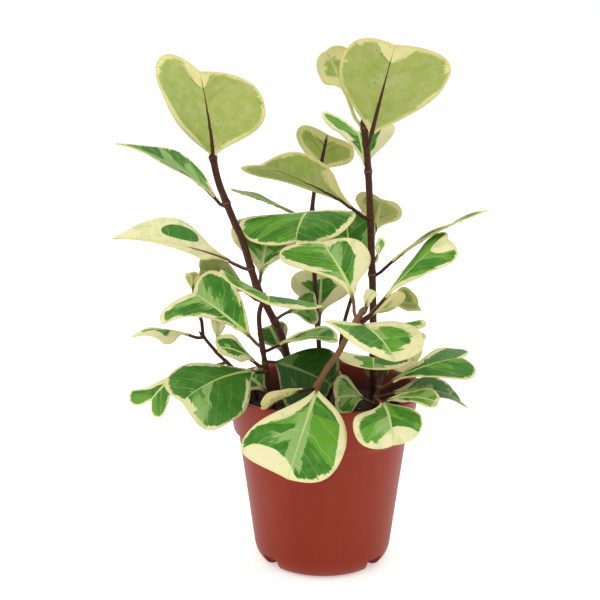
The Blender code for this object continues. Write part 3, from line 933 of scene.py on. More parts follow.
@dataclass
class Stem:
    """A woody shoot that starts in the potting mix, in millimetres.

    Attributes:
        name: Name of the shoot.
        root_radius: Radius at the root.
        tip_radius: Radius at the tip.
        knots: Points that its path runs through.
        bud: Length of the bud.
        youth: How far the bark is towards the pale colour of a young shoot, from 0 to 1.
        sides: Number of sides.
        spacing: Distance between rings.
        nodes: Distances from the root at which leaves sit.
    """

    name: str
    root_radius: float
    tip_radius: float
    knots: tuple[Point, ...]
    bud: float = 3.0
    youth: float = 0.0
    sides: int = 16
    spacing: float = 1.3
    nodes: list[float] = field(default_factory=list)

    def __post_init__(self) -> None:
        """Work out the path of the shoot."""
        self.path = path_through(self.knots)

    def spot(self, height: float) -> tuple[np.ndarray, np.ndarray, float]:
        """Where the shoot reaches a height.

        Args:
            height: Height of a leaf node.

        Returns:
            Centre, direction of the shoot, and distance from its root.
        """
        points = self.path.points
        index = next((i for i in range(1, len(points)) if points[i][2] >= height), len(points) - 1)
        low, high = points[index - 1], points[index]
        part = min(max((height - low[2]) / (high[2] - low[2]), 0.0), 1.0)
        centre = low + (high - low) * part
        return centre, unit(high - low), self.path.marks[index - 1] + part * np.linalg.norm(high - low)

    def radius(self, distance: float | np.ndarray) -> float | np.ndarray:
        """Plain radius at a distance from the root."""
        share = np.minimum(distance / self.path.length, 1.0)
        return self.root_radius + (self.tip_radius - self.root_radius) * share

    def build(self, bark: bpy.types.Material) -> bpy.types.Object:
        """Make the shoot with swollen nodes and a pointed bud.

        Args:
            bark: Finish of the shoot.

        Returns:
            The object.
        """
        total = self.path.length + self.bud
        rows = max(8, round(total / self.spacing))
        bm, row, column = grid(rows, self.sides)
        distance = row / rows * total
        centre = self.path.at(distance)
        along = self.path.along(distance, 1.0)
        across = unit(np.cross(along, np.array([0.0, 1.0, 0.0])))
        third = np.cross(along, across)
        gaps = np.array([np.abs(distance - node) for node in self.nodes] or [distance + 99.0])
        nearest = gaps.min(axis=0)
        swell = 0.22 * np.exp(-(nearest / 1.6) ** 2) + 0.1 * np.exp(-(nearest / 0.45) ** 2)
        taper = np.sqrt(np.clip((total - distance) / self.bud, 0.0, 1.0)) ** 1.3
        angle = 2.0 * math.pi * column / self.sides
        lumps = np.array([noise.noise(Vector((d * 0.22, math.cos(a) * 1.3, math.sin(a) * 1.3)))
                          for d, a in zip(distance, angle)])
        radius = self.radius(distance) * (1.0 + swell + 0.06 * lumps) * taper
        ring = np.cos(angle)[:, None] * across + np.sin(angle)[:, None] * third
        place_verts(bm, centre + radius[:, None] * ring)
        store_on(bm, "spot", np.stack([distance, np.minimum(angle, 2 * math.pi - angle) * 2.2,
                                       np.full(len(angle), float(len(self.name)))], axis=1))
        store_on(bm, "ring", nearest)
        store_on(bm, "age", self.youth + distance / 900.0)
        bmesh.ops.remove_doubles(bm, verts=bm.verts, dist=0.0005 * MM)
        bmesh.ops.holes_fill(bm, edges=[e for e in bm.edges if e.is_boundary], sides=0)
        bmesh.ops.recalc_face_normals(bm, faces=bm.faces)
        node = "stem_" + self.name
        return add_piece(node + "_bark", mesh_of(bm, node, bark), (node,))


@dataclass
class Leaf:
    """A leaf whose stalk runs on as the midrib of a folded and gently waved blade.

    Attributes:
        name: Name of the leaf.
        stem: The shoot that carries it.
        node: Height of its node on the shoot in millimetres.
        tip: End of the midrib in millimetres.
        face: Direction of the upper face.
        width: Width of the flat blade in millimetres.
        shape: Its form.
        look: Its colour habit.
        number: Its number in the plant.
        clearance: Gap between the outside of the stem and the start of the stalk.
        seat_run: Length of stalk added before that start.
        seat_depth: Share of the stem's radius that the first row of the stalk is sunk by.
        wide: Width above which a blade gets the finer grid.
        blade_rows: Rows of a narrow and of a wide blade.
        blade_columns: Columns on each half of a narrow and of a wide blade.
    """

    name: str
    stem: Stem
    node: float
    tip: Point
    face: Point
    width: float
    shape: LeafShape = LeafShape()
    look: LeafLook = LeafLook()
    number: int = 0
    stalk_half_width: float = 1.0
    stalk_thickness: float = 1.7
    blade_thickness: float = 0.5
    clearance: float = 0.35
    vein_count: float = 6.0
    stalk_rows: int = 9
    seat_run: float = 1.3
    seat_depth: float = 0.6
    wide: float = 31.0
    blade_rows: tuple[int, int] = (40, 70)
    blade_columns: tuple[int, int] = (12, 20)
    groove_width: float = 0.8
    groove_depth: float = 0.25

    def __post_init__(self) -> None:
        """Work out the midrib."""
        shape = self.shape
        self.upward = unit(np.array(self.face, float))
        self.end = np.array(self.tip, float)
        start, way = self.attach()
        foot = start + shape.petiole * way
        chord = unit(self.end - foot)
        upper = unit(self.upward - self.upward.dot(chord) * chord)
        bow = self.end - 0.45 * (self.end - foot) + 1.7 * shape.arch * upper
        control = [start, start + 1.25 * shape.petiole * way, bow, self.end]
        self.rib = Path(bezier(control, np.linspace(0.0, 1.0, 241)))
        self.length = self.rib.length - shape.petiole
        self.half = 0.5 * self.width

    def attach(self) -> tuple[np.ndarray, np.ndarray]:
        """Start of the stalk beside its stem and the way that it sets off.

        Returns:
            The start and the direction of the stalk.
        """
        centre, along, done = self.stem.spot(self.node)
        self.stem.nodes.append(float(done))
        towards = unit(self.end - centre)
        way = unit((1.0 - self.shape.lift) * towards + self.shape.lift * along)
        outward = unit(way - way.dot(along) * along)
        upper = unit(self.upward - self.upward.dot(way) * way)
        reach = (self.stalk_half_width * abs(np.cross(way, upper).dot(outward))
                 + self.stalk_thickness * max(0.0, upper.dot(outward)))
        radius = self.stem.radius(done)
        self.inward = -outward * (radius * self.seat_depth + self.clearance + reach)
        return centre + outward * (radius + self.clearance + reach), way

    def frame(self, x: np.ndarray) -> tuple[np.ndarray, np.ndarray, np.ndarray]:
        """Midrib point, upper direction and right-hand direction along the blade.

        Args:
            x: Distances from the foot of the blade, below zero on the stalk.

        Returns:
            Three arrays of vectors.
        """
        distance = x + self.shape.petiole
        along = self.rib.along(distance)
        upper = unit(self.upward - (along @ self.upward)[:, None] * along)
        right = np.cross(along, upper)
        turn = (math.radians(self.shape.twist) * np.clip(x / self.length, 0.0, 1.2))[:, None]
        turned = upper * np.cos(turn) + right * np.sin(turn)
        right = right * np.cos(turn) - upper * np.sin(turn)
        return self.rib.at(distance), turned, right

    def outline(self, side: Side) -> tuple[list[np.ndarray], list[np.ndarray]]:
        """Control points of the long edge and of the lobed end on one side of the blade.

        Args:
            side: The half.

        Returns:
            Control points of the edge and of the end.
        """
        shape, length = self.shape, self.length
        half = self.half * (1.0 + side.value * shape.bias)
        widest = (shape.on("widest", side) + side.value * shape.lean) * length
        rise = (shape.on("notch", side) + side.value * shape.lean) * length
        edge = [(0.0, self.stalk_half_width, 0.0), (shape.on("wedge", side) * length, 0.2 * half, 0.0),
                (widest - shape.on("shoulder", side) * length, half, 0.0), (widest, half, 0.0)]
        end = [(length, 0.0, 0.0), (length + rise, 0.48 * half, 0.0),
               (widest + shape.on("corner", side) * length, half, 0.0), (widest, half, 0.0)]
        return [np.array(p) for p in edge], [np.array(p) for p in end]

    def flat(self, u: np.ndarray, v: np.ndarray, side: Side) -> np.ndarray:
        """Flat places on one half of the blade.

        Args:
            u: Shares from foot to end.
            v: Shares from midrib to margin.
            side: The half.

        Returns:
            Places in millimetres along and across.
        """
        edge, end = self.outline(side)
        foot_edge = np.array([0.0, self.stalk_half_width, 0.0])
        tip = np.array([self.length, 0.0, 0.0])
        rim, lobe = bezier(edge, u), bezier(end, v)
        u, v = u[:, None], v[:, None]
        blend = (1 - u) * v * foot_edge + u * (1 - v) * tip + u * v * edge[-1]
        return (1 - v) * u * tip + v * rim + (1 - u) * v * foot_edge + u * lobe - blend

    def rim_distance(self, spots: np.ndarray, side: Side) -> np.ndarray:
        """Distance of flat places to the margin of their half.

        Args:
            spots: Flat places.
            side: The half.

        Returns:
            A distance for each place.
        """
        edge, end = self.outline(side)
        run = np.linspace(0.0, 1.0, 70)
        margin = np.concatenate([bezier(edge, run), bezier(end, run)])[:, :2]
        gaps = spots[:, None, :2] - margin[None, :, :]
        return np.sqrt((gaps ** 2).sum(axis=2)).min(axis=1)

    def bend(self, x: np.ndarray, y: np.ndarray, side: Side, relief: np.ndarray) -> np.ndarray:
        """Bend flat places of one half into their real places.

        Args:
            x: Places along the blade.
            y: Distances from the midrib.
            side: The half.
            relief: Height added at each place.

        Returns:
            Places in millimetres.
        """
        shape = self.shape
        middle, upper, right = self.frame(x)
        start = math.radians(shape.on("fold", side))
        bend = math.radians(shape.on("cup", side)) / self.half + 1e-6
        out = (np.sin(start + bend * y) - math.sin(start)) / bend
        rise = (math.cos(start) - np.cos(start + bend * y)) / bend
        phase = 0.0 if side is Side.LEFT else 0.37
        ripple = np.sin(2.0 * math.pi * (shape.waves * x / self.length + phase))
        rise = rise + shape.wave * (y / self.half) ** 1.5 * ripple + relief
        return middle + side.value * out[:, None] * right + rise[:, None] * upper

    def vein_run(self, x: np.ndarray, y: np.ndarray) -> np.ndarray:
        """Count of side veins passed at flat places; whole numbers lie on a vein.

        Args:
            x: Places along the blade.
            y: Distances from the midrib.

        Returns:
            A count for each place.
        """
        slant = 0.55 * y + 0.25 * y * y / self.half
        run = (x - slant) / self.length * self.vein_count
        sway = 0.22 * np.sin(1.7 * run + 2.1 * self.number) + 0.05 * np.sin(0.6 * y + self.number)
        return run + sway + 50.0

    def vein_relief(self, x: np.ndarray, y: np.ndarray, rim: np.ndarray) -> np.ndarray:
        """Share, from 0 to 1, of a side vein's full depth.

        Args:
            x: Places along the blade.
            y: Distances from the midrib.
            rim: Distances to the margin.

        Returns:
            A share for each place.
        """
        run = self.vein_run(x, y)
        gap = np.abs(run - np.rint(run)) * self.length / self.vein_count
        return np.exp(-(gap / 0.8) ** 2) * np.clip(rim / 5.0, 0.0, 1.0)

    def marks(self, u: np.ndarray, v: np.ndarray) -> np.ndarray:
        """Gain of the cream, grey and dark zones at places on the blade.

        Args:
            u: Shares from foot to end.
            v: Shares from left to right.

        Returns:
            Three gains for each place.
        """
        made = np.zeros((len(u), 3))
        made[:, 1] = self.look.grey
        made[:, 2] = self.look.dark
        for patch in self.look.patches:
            reach = ((u - patch.u) / patch.reach_u) ** 2 + ((v - patch.v) / patch.reach_v) ** 2
            share = np.clip(1.6 - reach, 0.0, 1.0) * patch.gain
            made += share[:, None] * np.array(ZONE_GAINS[patch.tone])
        return made

    def columns(self) -> np.ndarray:
        """Shares from midrib to margin, closer together beside the midrib.

        Returns:
            The shares.
        """
        count = self.blade_columns[self.width > self.wide]
        step = np.linspace(0.0, 1.0, count + 1)
        near = 0.35 / self.half
        return step * near * 3.0 + (1.0 - near * 3.0) * step ** 1.35

    def build(self, upper: bpy.types.Material, under: bpy.types.Material,
              edge: bpy.types.Material) -> bpy.types.Object:
        """Make the leaf.

        Args:
            upper: Finish of the upper face.
            under: Finish of the underside.
            edge: Finish of the cut of the margin.

        Returns:
            The object.
        """
        steps = self.columns()
        count = len(steps) - 1
        rows = self.blade_rows[self.width > self.wide]
        bm, row, column = grid(rows + self.stalk_rows, 2 * count)
        side = np.where(column < count, -1, 1)
        v = steps[np.abs(column - count)]
        u = (row - self.stalk_rows) / rows
        places = np.zeros((len(row), 3))
        flat = np.zeros((len(row), 3))
        rim = np.full(len(row), 30.0)
        stalk = u <= 0.0
        for half in Side:
            mine = (side == half.value) & ~stalk
            spots = self.flat(u[mine], v[mine], half)
            rim[mine] = self.rim_distance(spots, half)
            x, y = spots[:, 0], spots[:, 1]
            groove = -self.groove_depth * np.exp(-(y / self.groove_width) ** 2) * (1.0 - 0.7 * u[mine])
            relief = groove - 0.2 * self.vein_relief(x, y, rim[mine])
            places[mine] = self.bend(x, y, half, relief)
            flat[mine] = spots * np.array([1.0, half.value, 1.0])
        self.place_stalk(places, flat, stalk, row, v * side)
        place_verts(bm, places)
        seed = np.full(len(row), float(self.number))
        store_on(bm, "spot", np.stack([flat[:, 0], flat[:, 1], seed], axis=1))
        store_on(bm, "rim", rim)
        store_on(bm, "vein", self.vein_run(flat[:, 0], np.abs(flat[:, 1])))
        store_on(bm, "marks", self.marks(u, v * side))
        habit = np.array([self.look.margin, self.look.brown, self.length / self.vein_count])
        store_on(bm, "habit", np.tile(habit, (len(row), 1)))
        store_on(bm, "shade", np.full(len(row), self.look.shade))
        bmesh.ops.reverse_faces(bm, faces=bm.faces)
        thickness = self.thickness(u, np.abs(flat[:, 1]), flat[:, 0], rim, v)
        node = "leaf_" + self.name
        mesh = mesh_of(bm, node, upper, under, edge)
        piece = add_piece(node + "_blade", mesh, (node,))
        self.thicken(piece, thickness)
        return piece

    def place_stalk(self, places: np.ndarray, flat: np.ndarray, stalk: np.ndarray, row: np.ndarray,
                    v: np.ndarray) -> None:
        """Set the rows of the stalk, which starts just inside its stem.

        Args:
            places: Places of all vertices, filled in for the stalk.
            flat: Flat places of all vertices, filled in for the stalk.
            stalk: Which vertices are on the stalk.
            row: Row of each vertex.
            v: Share of each vertex from left to right.
        """
        share = row[stalk] / self.stalk_rows
        x = -(self.shape.petiole + self.seat_run) * (1.0 - share)
        middle, upper, right = self.frame(x)
        middle = middle + np.clip(1.0 - 3.0 * share, 0.0, 1.0)[:, None] * self.inward
        half = self.stalk_half_width * (0.86 + 0.3 * (1.0 - share) ** 3 + 0.14 * share ** 2)
        across = v[stalk] * half
        dip = -0.22 * (1.0 - v[stalk] ** 2) * np.sin(math.pi * np.clip(share, 0.0, 1.0)) ** 0.5
        crown = -0.3 * v[stalk] ** 4
        places[stalk] = middle + across[:, None] * right + (dip + crown)[:, None] * upper
        flat[stalk, 0] = x
        flat[stalk, 1] = across * 0.6

    def thickness(self, u: np.ndarray, y: np.ndarray, x: np.ndarray, rim: np.ndarray,
                  v: np.ndarray) -> np.ndarray:
        """Thickness in millimetres: round stalk, tapering midrib, thin blade with raised veins.

        Args:
            u: Shares from foot to end.
            y: Distances from the midrib.
            x: Places along the blade.
            rim: Distances to the margin.
            v: Shares from midrib to margin.

        Returns:
            A thickness for each place.
        """
        ridge = 1.1 * np.clip(1.0 - u, 0.0, 1.0) ** 0.8 * np.exp(-(y / 0.75) ** 2)
        blade = self.blade_thickness + ridge + 0.22 * self.vein_relief(x, y, rim)
        stalk = self.blade_thickness + 1.3 * np.sqrt(np.clip(1.0 - v ** 2, 0.0, 1.0))
        share = np.clip(u * 9.0, 0.0, 1.0)
        return stalk * (1.0 - share) + blade * share

    def thicken(self, piece: bpy.types.Object, thickness: np.ndarray) -> None:
        """Give the sheet its thickness towards the underside.

        Args:
            piece: The leaf as a sheet.
            thickness: Thickness at each vertex.
        """
        most = float(thickness.max())
        group = piece.vertex_groups.new(name="stoutness")
        for index, value in enumerate(thickness / most):
            group.add([index], float(value), "REPLACE")
        sheet = piece.modifiers.new("sheet", "SOLIDIFY")
        sheet.thickness = most * MM
        sheet.offset = -1.0
        sheet.vertex_group = group.name
        sheet.thickness_vertex_group = 0.0
        sheet.material_offset = 1
        sheet.material_offset_rim = 2


@dataclass
class Pot:
    """A nursery pot with a tall collar, a rolled lip and four feet."""

    height: float = 105.7
    lip_radius: float = 60.0
    lip_thickness: float = 1.5
    collar_top: float = 57.2
    collar_foot: float = 53.3
    collar_height: float = 80.6
    body_top: float = 50.4
    step_drop: float = 3.0
    body_foot: float = 41.2
    wall: float = 1.6
    floor: float = 8.0
    inner_foot: float = 13.0
    foot_radius: float = 35.0
    foot_width: float = 4.2
    pad_radius: float = 8.0
    notches: tuple[float, ...] = (-139.0, -40.0, 40.0, 139.0)
    notch_angle: float = 18.0
    notch_height: float = 7.2
    holes: int = 6
    hole_radius: float = 3.0
    hole_circle: float = 23.0
    segments: int = 144

    def collar_radius(self, z: float) -> float:
        """Outer radius of the collar at a height."""
        part = (z - self.collar_height) / (self.height - 2.1 - self.collar_height)
        return self.collar_foot + part * (self.collar_top - self.collar_foot)

    def body_radius(self, z: float) -> float:
        """Outer radius of the body below the collar at a height."""
        part = (z - self.floor) / (self.collar_height - self.step_drop - self.floor)
        return self.body_foot + part * (self.body_top - self.body_foot)

    def section(self) -> list[tuple[float, float, float]]:
        """Radius, height and rounding of each corner of the pot's section.

        Returns:
            The corners, from the inner floor round to the underside.
        """
        floor, step, lip = self.floor + self.wall, self.collar_height, self.height
        inner = self.foot_radius - self.foot_width
        return [
            (0.0, floor, 0.0), (self.foot_radius, floor, 1.5),
            (self.body_radius(self.inner_foot) - self.wall, self.inner_foot, 1.5),
            (self.body_radius(step - 2.5) - self.wall, step - 2.5, 0.8),
            (self.collar_radius(step + 1.5) - self.wall, step + 1.5, 0.8),
            (self.collar_radius(lip - 1.5) - self.wall, lip - 1.5, 0.5),
            (self.lip_radius - 2.6, lip - 0.1, 0.5), (self.lip_radius - 0.2, lip, 0.45),
            (self.lip_radius, lip - self.lip_thickness, 0.4),
            (self.collar_top, lip - 1.9, 0.35), (self.collar_foot, step, 0.7),
            (self.body_top, step - self.step_drop, 0.9), (self.body_foot, self.floor, 2.4),
            (self.body_foot - 1.2, 4.2, 1.6), (self.foot_radius + 2.8, 1.2, 1.2),
            (self.foot_radius, 0.0, 0.3),
            (inner, 0.0, 0.4), (inner - 0.4, self.floor, 0.8),
            (self.pad_radius + 0.8, self.floor, 0.8), (self.pad_radius, 0.0, 0.4), (0.0, 0.0, 0.0),
        ]

    def rounded(self) -> list[np.ndarray]:
        """The section with its corners rounded.

        Returns:
            Radius and height of each point.
        """
        corners = self.section()
        points = [np.array(corners[0][:2])]
        for before, corner, after in zip(corners, corners[1:], corners[2:]):
            here = np.array(corner[:2])
            back, on = np.array(before[:2]) - here, np.array(after[:2]) - here
            reach = min(corner[2], 0.45 * np.linalg.norm(back), 0.45 * np.linalg.norm(on))
            first, last = here + unit(back) * reach, here + unit(on) * reach
            for share in (0.0, 0.25, 0.5, 0.75, 1.0):
                low = first + (here - first) * share
                points.append(low + (here + (last - here) * share - low) * share)
        points.append(np.array(corners[-1][:2]))
        return points

    def cutters(self) -> list[bpy.types.Object]:
        """Wedges for the gaps between the feet, and posts for the drainage holes.

        Returns:
            The cutter objects.
        """
        gaps = bmesh.new()
        for middle in map(math.radians, self.notches):
            half = math.radians(self.notch_angle / 2.0)
            for vert in bmesh.ops.create_cube(gaps, size=1.0)["verts"]:
                reach = 26.0 if vert.co.x < 0 else 50.0
                angle = middle + (half if vert.co.y > 0 else -half)
                level = self.notch_height if vert.co.z > 0 else -3.0
                vert.co = Vector((reach * math.cos(angle), reach * math.sin(angle), level)) * MM
        posts = bmesh.new()
        for index in range(self.holes):
            angle = 2.0 * math.pi * (index + 0.5) / self.holes
            spot = Vector((self.hole_circle * math.cos(angle), self.hole_circle * math.sin(angle),
                           self.floor + self.wall / 2.0)) * MM
            bmesh.ops.create_cone(posts, cap_ends=True, segments=32, radius1=self.hole_radius * MM,
                                  radius2=self.hole_radius * MM, depth=12.0 * MM,
                                  matrix=Matrix.Translation(spot))
        made = []
        for name, bm in (("gaps", gaps), ("posts", posts)):
            bmesh.ops.recalc_face_normals(bm, faces=bm.faces)
            mesh = bpy.data.meshes.new(name)
            bm.to_mesh(mesh)
            bm.free()
            cutter = bpy.data.objects.new(name, mesh)
            bpy.context.scene.collection.objects.link(cutter)
            made.append(cutter)
        return made

    def build(self, plastic: bpy.types.Material) -> bpy.types.Object:
        """Turn the section, cut the feet and holes, and keep the cut mesh.

        Args:
            plastic: Finish of the pot.

        Returns:
            The object.
        """
        bm = bmesh.new()
        verts = [bm.verts.new((x * MM, 0.0, z * MM)) for x, z in self.rounded()]
        for first, second in zip(verts, verts[1:]):
            bm.edges.new((first, second))
        bmesh.ops.spin(bm, geom=bm.verts[:] + bm.edges[:], cent=(0.0, 0.0, 0.0), axis=(0.0, 0.0, 1.0),
                       dvec=(0.0, 0.0, 0.0), angle=2.0 * math.pi, steps=self.segments, use_merge=True)
        bmesh.ops.remove_doubles(bm, verts=bm.verts, dist=0.005 * MM)
        bmesh.ops.recalc_face_normals(bm, faces=bm.faces)
        turned = bpy.data.objects.new("turned_pot", mesh_of(bm, "turned_pot"))
        bpy.context.scene.collection.objects.link(turned)
        cutters = self.cutters()
        for cutter in cutters:
            cut = turned.modifiers.new(cutter.name, "BOOLEAN")
            cut.operation = "DIFFERENCE"
            cut.solver = "EXACT"
            cut.object = cutter
        graph = bpy.context.evaluated_depsgraph_get()
        mesh = bpy.data.meshes.new_from_object(turned.evaluated_get(graph))
        mesh.name = "pot_shell"
        for thing in (turned, *cutters):
            bpy.data.objects.remove(thing, do_unlink=True)
        mesh.materials.clear()
        mesh.materials.append(plastic)
        mesh.polygons.foreach_set("material_index", [0] * len(mesh.polygons))
        mesh.polygons.foreach_set("use_smooth", [True] * len(mesh.polygons))
        mesh.set_sharp_from_angle(angle=math.radians(40.0))
        return add_piece("pot_shell", mesh, ("pot",))


@dataclass
class Soil:
    """Potting mix: a lumpy filling and loose crumbs, fibres and pale grains on top."""

    pot: Pot
    height: float = 89.5
    mound: float = 1.6
    clearance: float = 0.55
    rings: int = 34
    segments: int = 108
    lumps: tuple[Point, ...] = ((0.07, 3.0, 1.0), (0.4, 9.0, 0.7), (1.1, 5.0, 0.35))
    crumbs: int = 330
    crumb_sizes: tuple[float, float] = (0.6, 1.3)
    big_sizes: tuple[float, float] = (1.4, 2.3)
    big_every: int = 6
    grain_every: int = 23
    fibres: int = 36
    fibre_sizes: tuple[float, float] = (2.5, 5.0)
    seed: int = 7

    def level(self, x: float, y: float) -> float:
        """Height of the filling at a place.

        Args:
            x: Place to the right.
            y: Place to the back.

        Returns:
            The height.
        """
        edge = self.pot.collar_radius(self.height) - self.pot.wall
        part = min(math.hypot(x, y) / edge, 1.0)
        level = self.height + self.mound * (1.0 - part * part)
        for scale, layer, depth in self.lumps:
            level += noise.noise(Vector((x * scale, y * scale, layer))) * depth
        return level

    def build(self, peat: bpy.types.Material) -> list[bpy.types.Object]:
        """Make the filling and what lies on it."""
        return [self.build_filling(peat), self.build_crumbs(peat)]

    def build_filling(self, peat: bpy.types.Material) -> bpy.types.Object:
        """Lumpy body that fills the pot.

        Args:
            peat: Finish of the mix.

        Returns:
            The object.
        """
        pot, step = self.pot, self.pot.collar_height
        gap = pot.wall + self.clearance
        edge = pot.collar_radius(self.height) - gap
        bottom = pot.floor + pot.wall + self.clearance
        wall = [(pot.collar_radius(step + 1.5) - gap - 0.1, step + 1.8),
                (pot.body_radius(step - 2.5) - gap - 0.1, step - 2.2),
                (pot.body_radius(pot.inner_foot) - gap, pot.inner_foot),
                (pot.foot_radius - 0.3, bottom), (0.0, bottom)]
        rows = self.rings + len(wall)
        bm, row, column = grid(rows, self.segments)
        places = np.zeros((len(row), 3))
        for index, (r, c) in enumerate(zip(row, column)):
            angle = 2.0 * math.pi * (c % self.segments) / self.segments
            radius, z = (edge * r / self.rings, None) if r <= self.rings else wall[r - self.rings - 1]
            x, y = radius * math.cos(angle), radius * math.sin(angle)
            places[index] = (x, y, self.level(x, y) if z is None else z)
        place_verts(bm, places)
        store_on(bm, "tone", np.full(len(row), 0.3))
        bmesh.ops.remove_doubles(bm, verts=bm.verts, dist=0.002 * MM)
        bmesh.ops.recalc_face_normals(bm, faces=bm.faces)
        return add_piece("potting_mix_filling", mesh_of(bm, "filling", peat), ("soil",))

    def build_crumbs(self, peat: bpy.types.Material) -> bpy.types.Object:
        """Crumbs and fibres of one mesh, each with its own tone.

        Args:
            peat: Finish of the mix.

        Returns:
            The object.
        """
        draw = np.random.RandomState(self.seed)
        edge = self.pot.collar_radius(self.height) - self.pot.wall - 3.0
        bm = bmesh.new()
        tone = bm.verts.layers.float.new("tone")
        for index in range(self.crumbs + self.fibres):
            radius = edge * math.sqrt(draw.uniform(0.0, 1.0))
            angle = draw.uniform(0.0, 2.0 * math.pi)
            x, y = radius * math.cos(angle), radius * math.sin(angle)
            turn = Matrix.Rotation(draw.uniform(0.0, math.pi), 4, "Z")
            tilt = Matrix.Rotation(draw.uniform(-0.5, 0.5), 4, "X")
            size = draw.uniform(*(self.crumb_sizes if index % self.big_every else self.big_sizes))
            stretch = (1.0, 0.75, 0.55)
            if index >= self.crumbs:
                size, stretch = draw.uniform(*self.fibre_sizes), (1.0, 0.11, 0.09)
            spot = Vector((x, y, self.level(x, y) + 0.25 * size * stretch[2])) * MM
            place = Matrix.Translation(spot) @ turn @ tilt @ Matrix.Diagonal((*stretch, 1.0))
            made = bmesh.ops.create_icosphere(bm, subdivisions=2 if size > self.crumb_sizes[1] else 1,
                                              radius=size * MM, matrix=place)["verts"]
            shade = draw.uniform(0.0, 0.9) if index % self.grain_every else 1.0
            for vert in made:
                away = vert.co - spot
                vert.co = spot + away * (1.0 + 0.3 * noise.noise(vert.co * 900.0))
                vert[tone] = shade
        mesh = mesh_of(bm, "crumbs", peat)
        mesh.polygons.foreach_set("use_smooth", [False] * len(mesh.polygons))
        return add_piece("potting_mix_crumbs", mesh)


# name, place, side, power, height on the pot's axis that it faces; metres and watts
LIGHTS = (
    ("key", (-0.75, -0.9, 1.15), 0.9, 2.6, 0.16),
    ("left", (-1.1, -0.05, 0.45), 1.1, 3.0, 0.12),
    ("right", (1.1, -0.05, 0.45), 1.1, 3.6, 0.12),
    ("top", (0.1, 0.25, 1.5), 1.0, 4.0, 0.1),
)


@dataclass
class Studio:
    """White floor, soft lights and the camera."""

    eye: Point = (0.0, -0.582, 0.270)
    pitch: float = -11.0
    yaw: float = 1.338
    lens: float = 60.6
    sensor: float = 36.0
    floor_half: float = 4.0
    world_light: float = 1.0

    def build(self) -> None:
        """Make the floor, the world, the lights and the camera."""
        self.build_floor()
        self.build_world()
        for name, spot, size, power, aim_height in LIGHTS:
            self.add_light(name, spot, size, power, (0.0, 0.0, aim_height))
        self.build_camera()

    def build_floor(self) -> None:
        """Large floor on which the pot stands."""
        bm = bmesh.new()
        bmesh.ops.create_grid(bm, x_segments=4, y_segments=4, size=self.floor_half)
        bmesh.ops.translate(bm, verts=bm.verts, vec=(0.0, 0.0, -0.0004))
        floor = bpy.data.objects.new("studio_floor", mesh_of(bm, "studio_floor", FLOOR.build()))
        bpy.context.scene.collection.objects.link(floor)

    def build_world(self) -> None:
        """Even white surroundings."""
        world = bpy.data.worlds.new("studio_surround")
        world.use_nodes = True
        back = world.node_tree.nodes["Background"]
        back.inputs["Color"].default_value = (1.0, 1.0, 1.0, 1.0)
        back.inputs["Strength"].default_value = self.world_light
        bpy.context.scene.world = world

    def add_light(self, name: str, spot: Point, size: float, power: float, target: Point) -> None:
        """Add a soft square light.

        Args:
            name: Name of the light.
            spot: Its place in metres.
            size: Its side in metres.
            power: Its power in watts.
            target: The place that it faces.
        """
        lamp = bpy.data.lights.new(name, "AREA")
        lamp.shape = "SQUARE"
        lamp.size = size
        lamp.energy = power
        thing = bpy.data.objects.new(name, lamp)
        thing.location = spot
        aim = Vector(target) - Vector(spot)
        thing.rotation_mode = "QUATERNION"
        thing.rotation_quaternion = aim.to_track_quat("-Z", "Y")
        bpy.context.scene.collection.objects.link(thing)

    def build_camera(self) -> None:
        """Camera a little above the leaves, tipped down."""
        camera = bpy.data.cameras.new("view")
        camera.lens = self.lens
        camera.sensor_width = self.sensor
        camera.clip_start = 0.01
        thing = bpy.data.objects.new("view", camera)
        pitch, yaw = math.radians(self.pitch), math.radians(self.yaw)
        way = Vector((-math.sin(yaw) * math.cos(pitch), math.cos(yaw) * math.cos(pitch),
                      math.sin(pitch)))
        thing.location = self.eye
        thing.rotation_mode = "QUATERNION"
        thing.rotation_quaternion = way.to_track_quat("-Z", "Y")
        bpy.context.scene.collection.objects.link(thing)
        bpy.context.scene.camera = thing
        bpy.context.scene.view_settings.view_transform = "Standard"


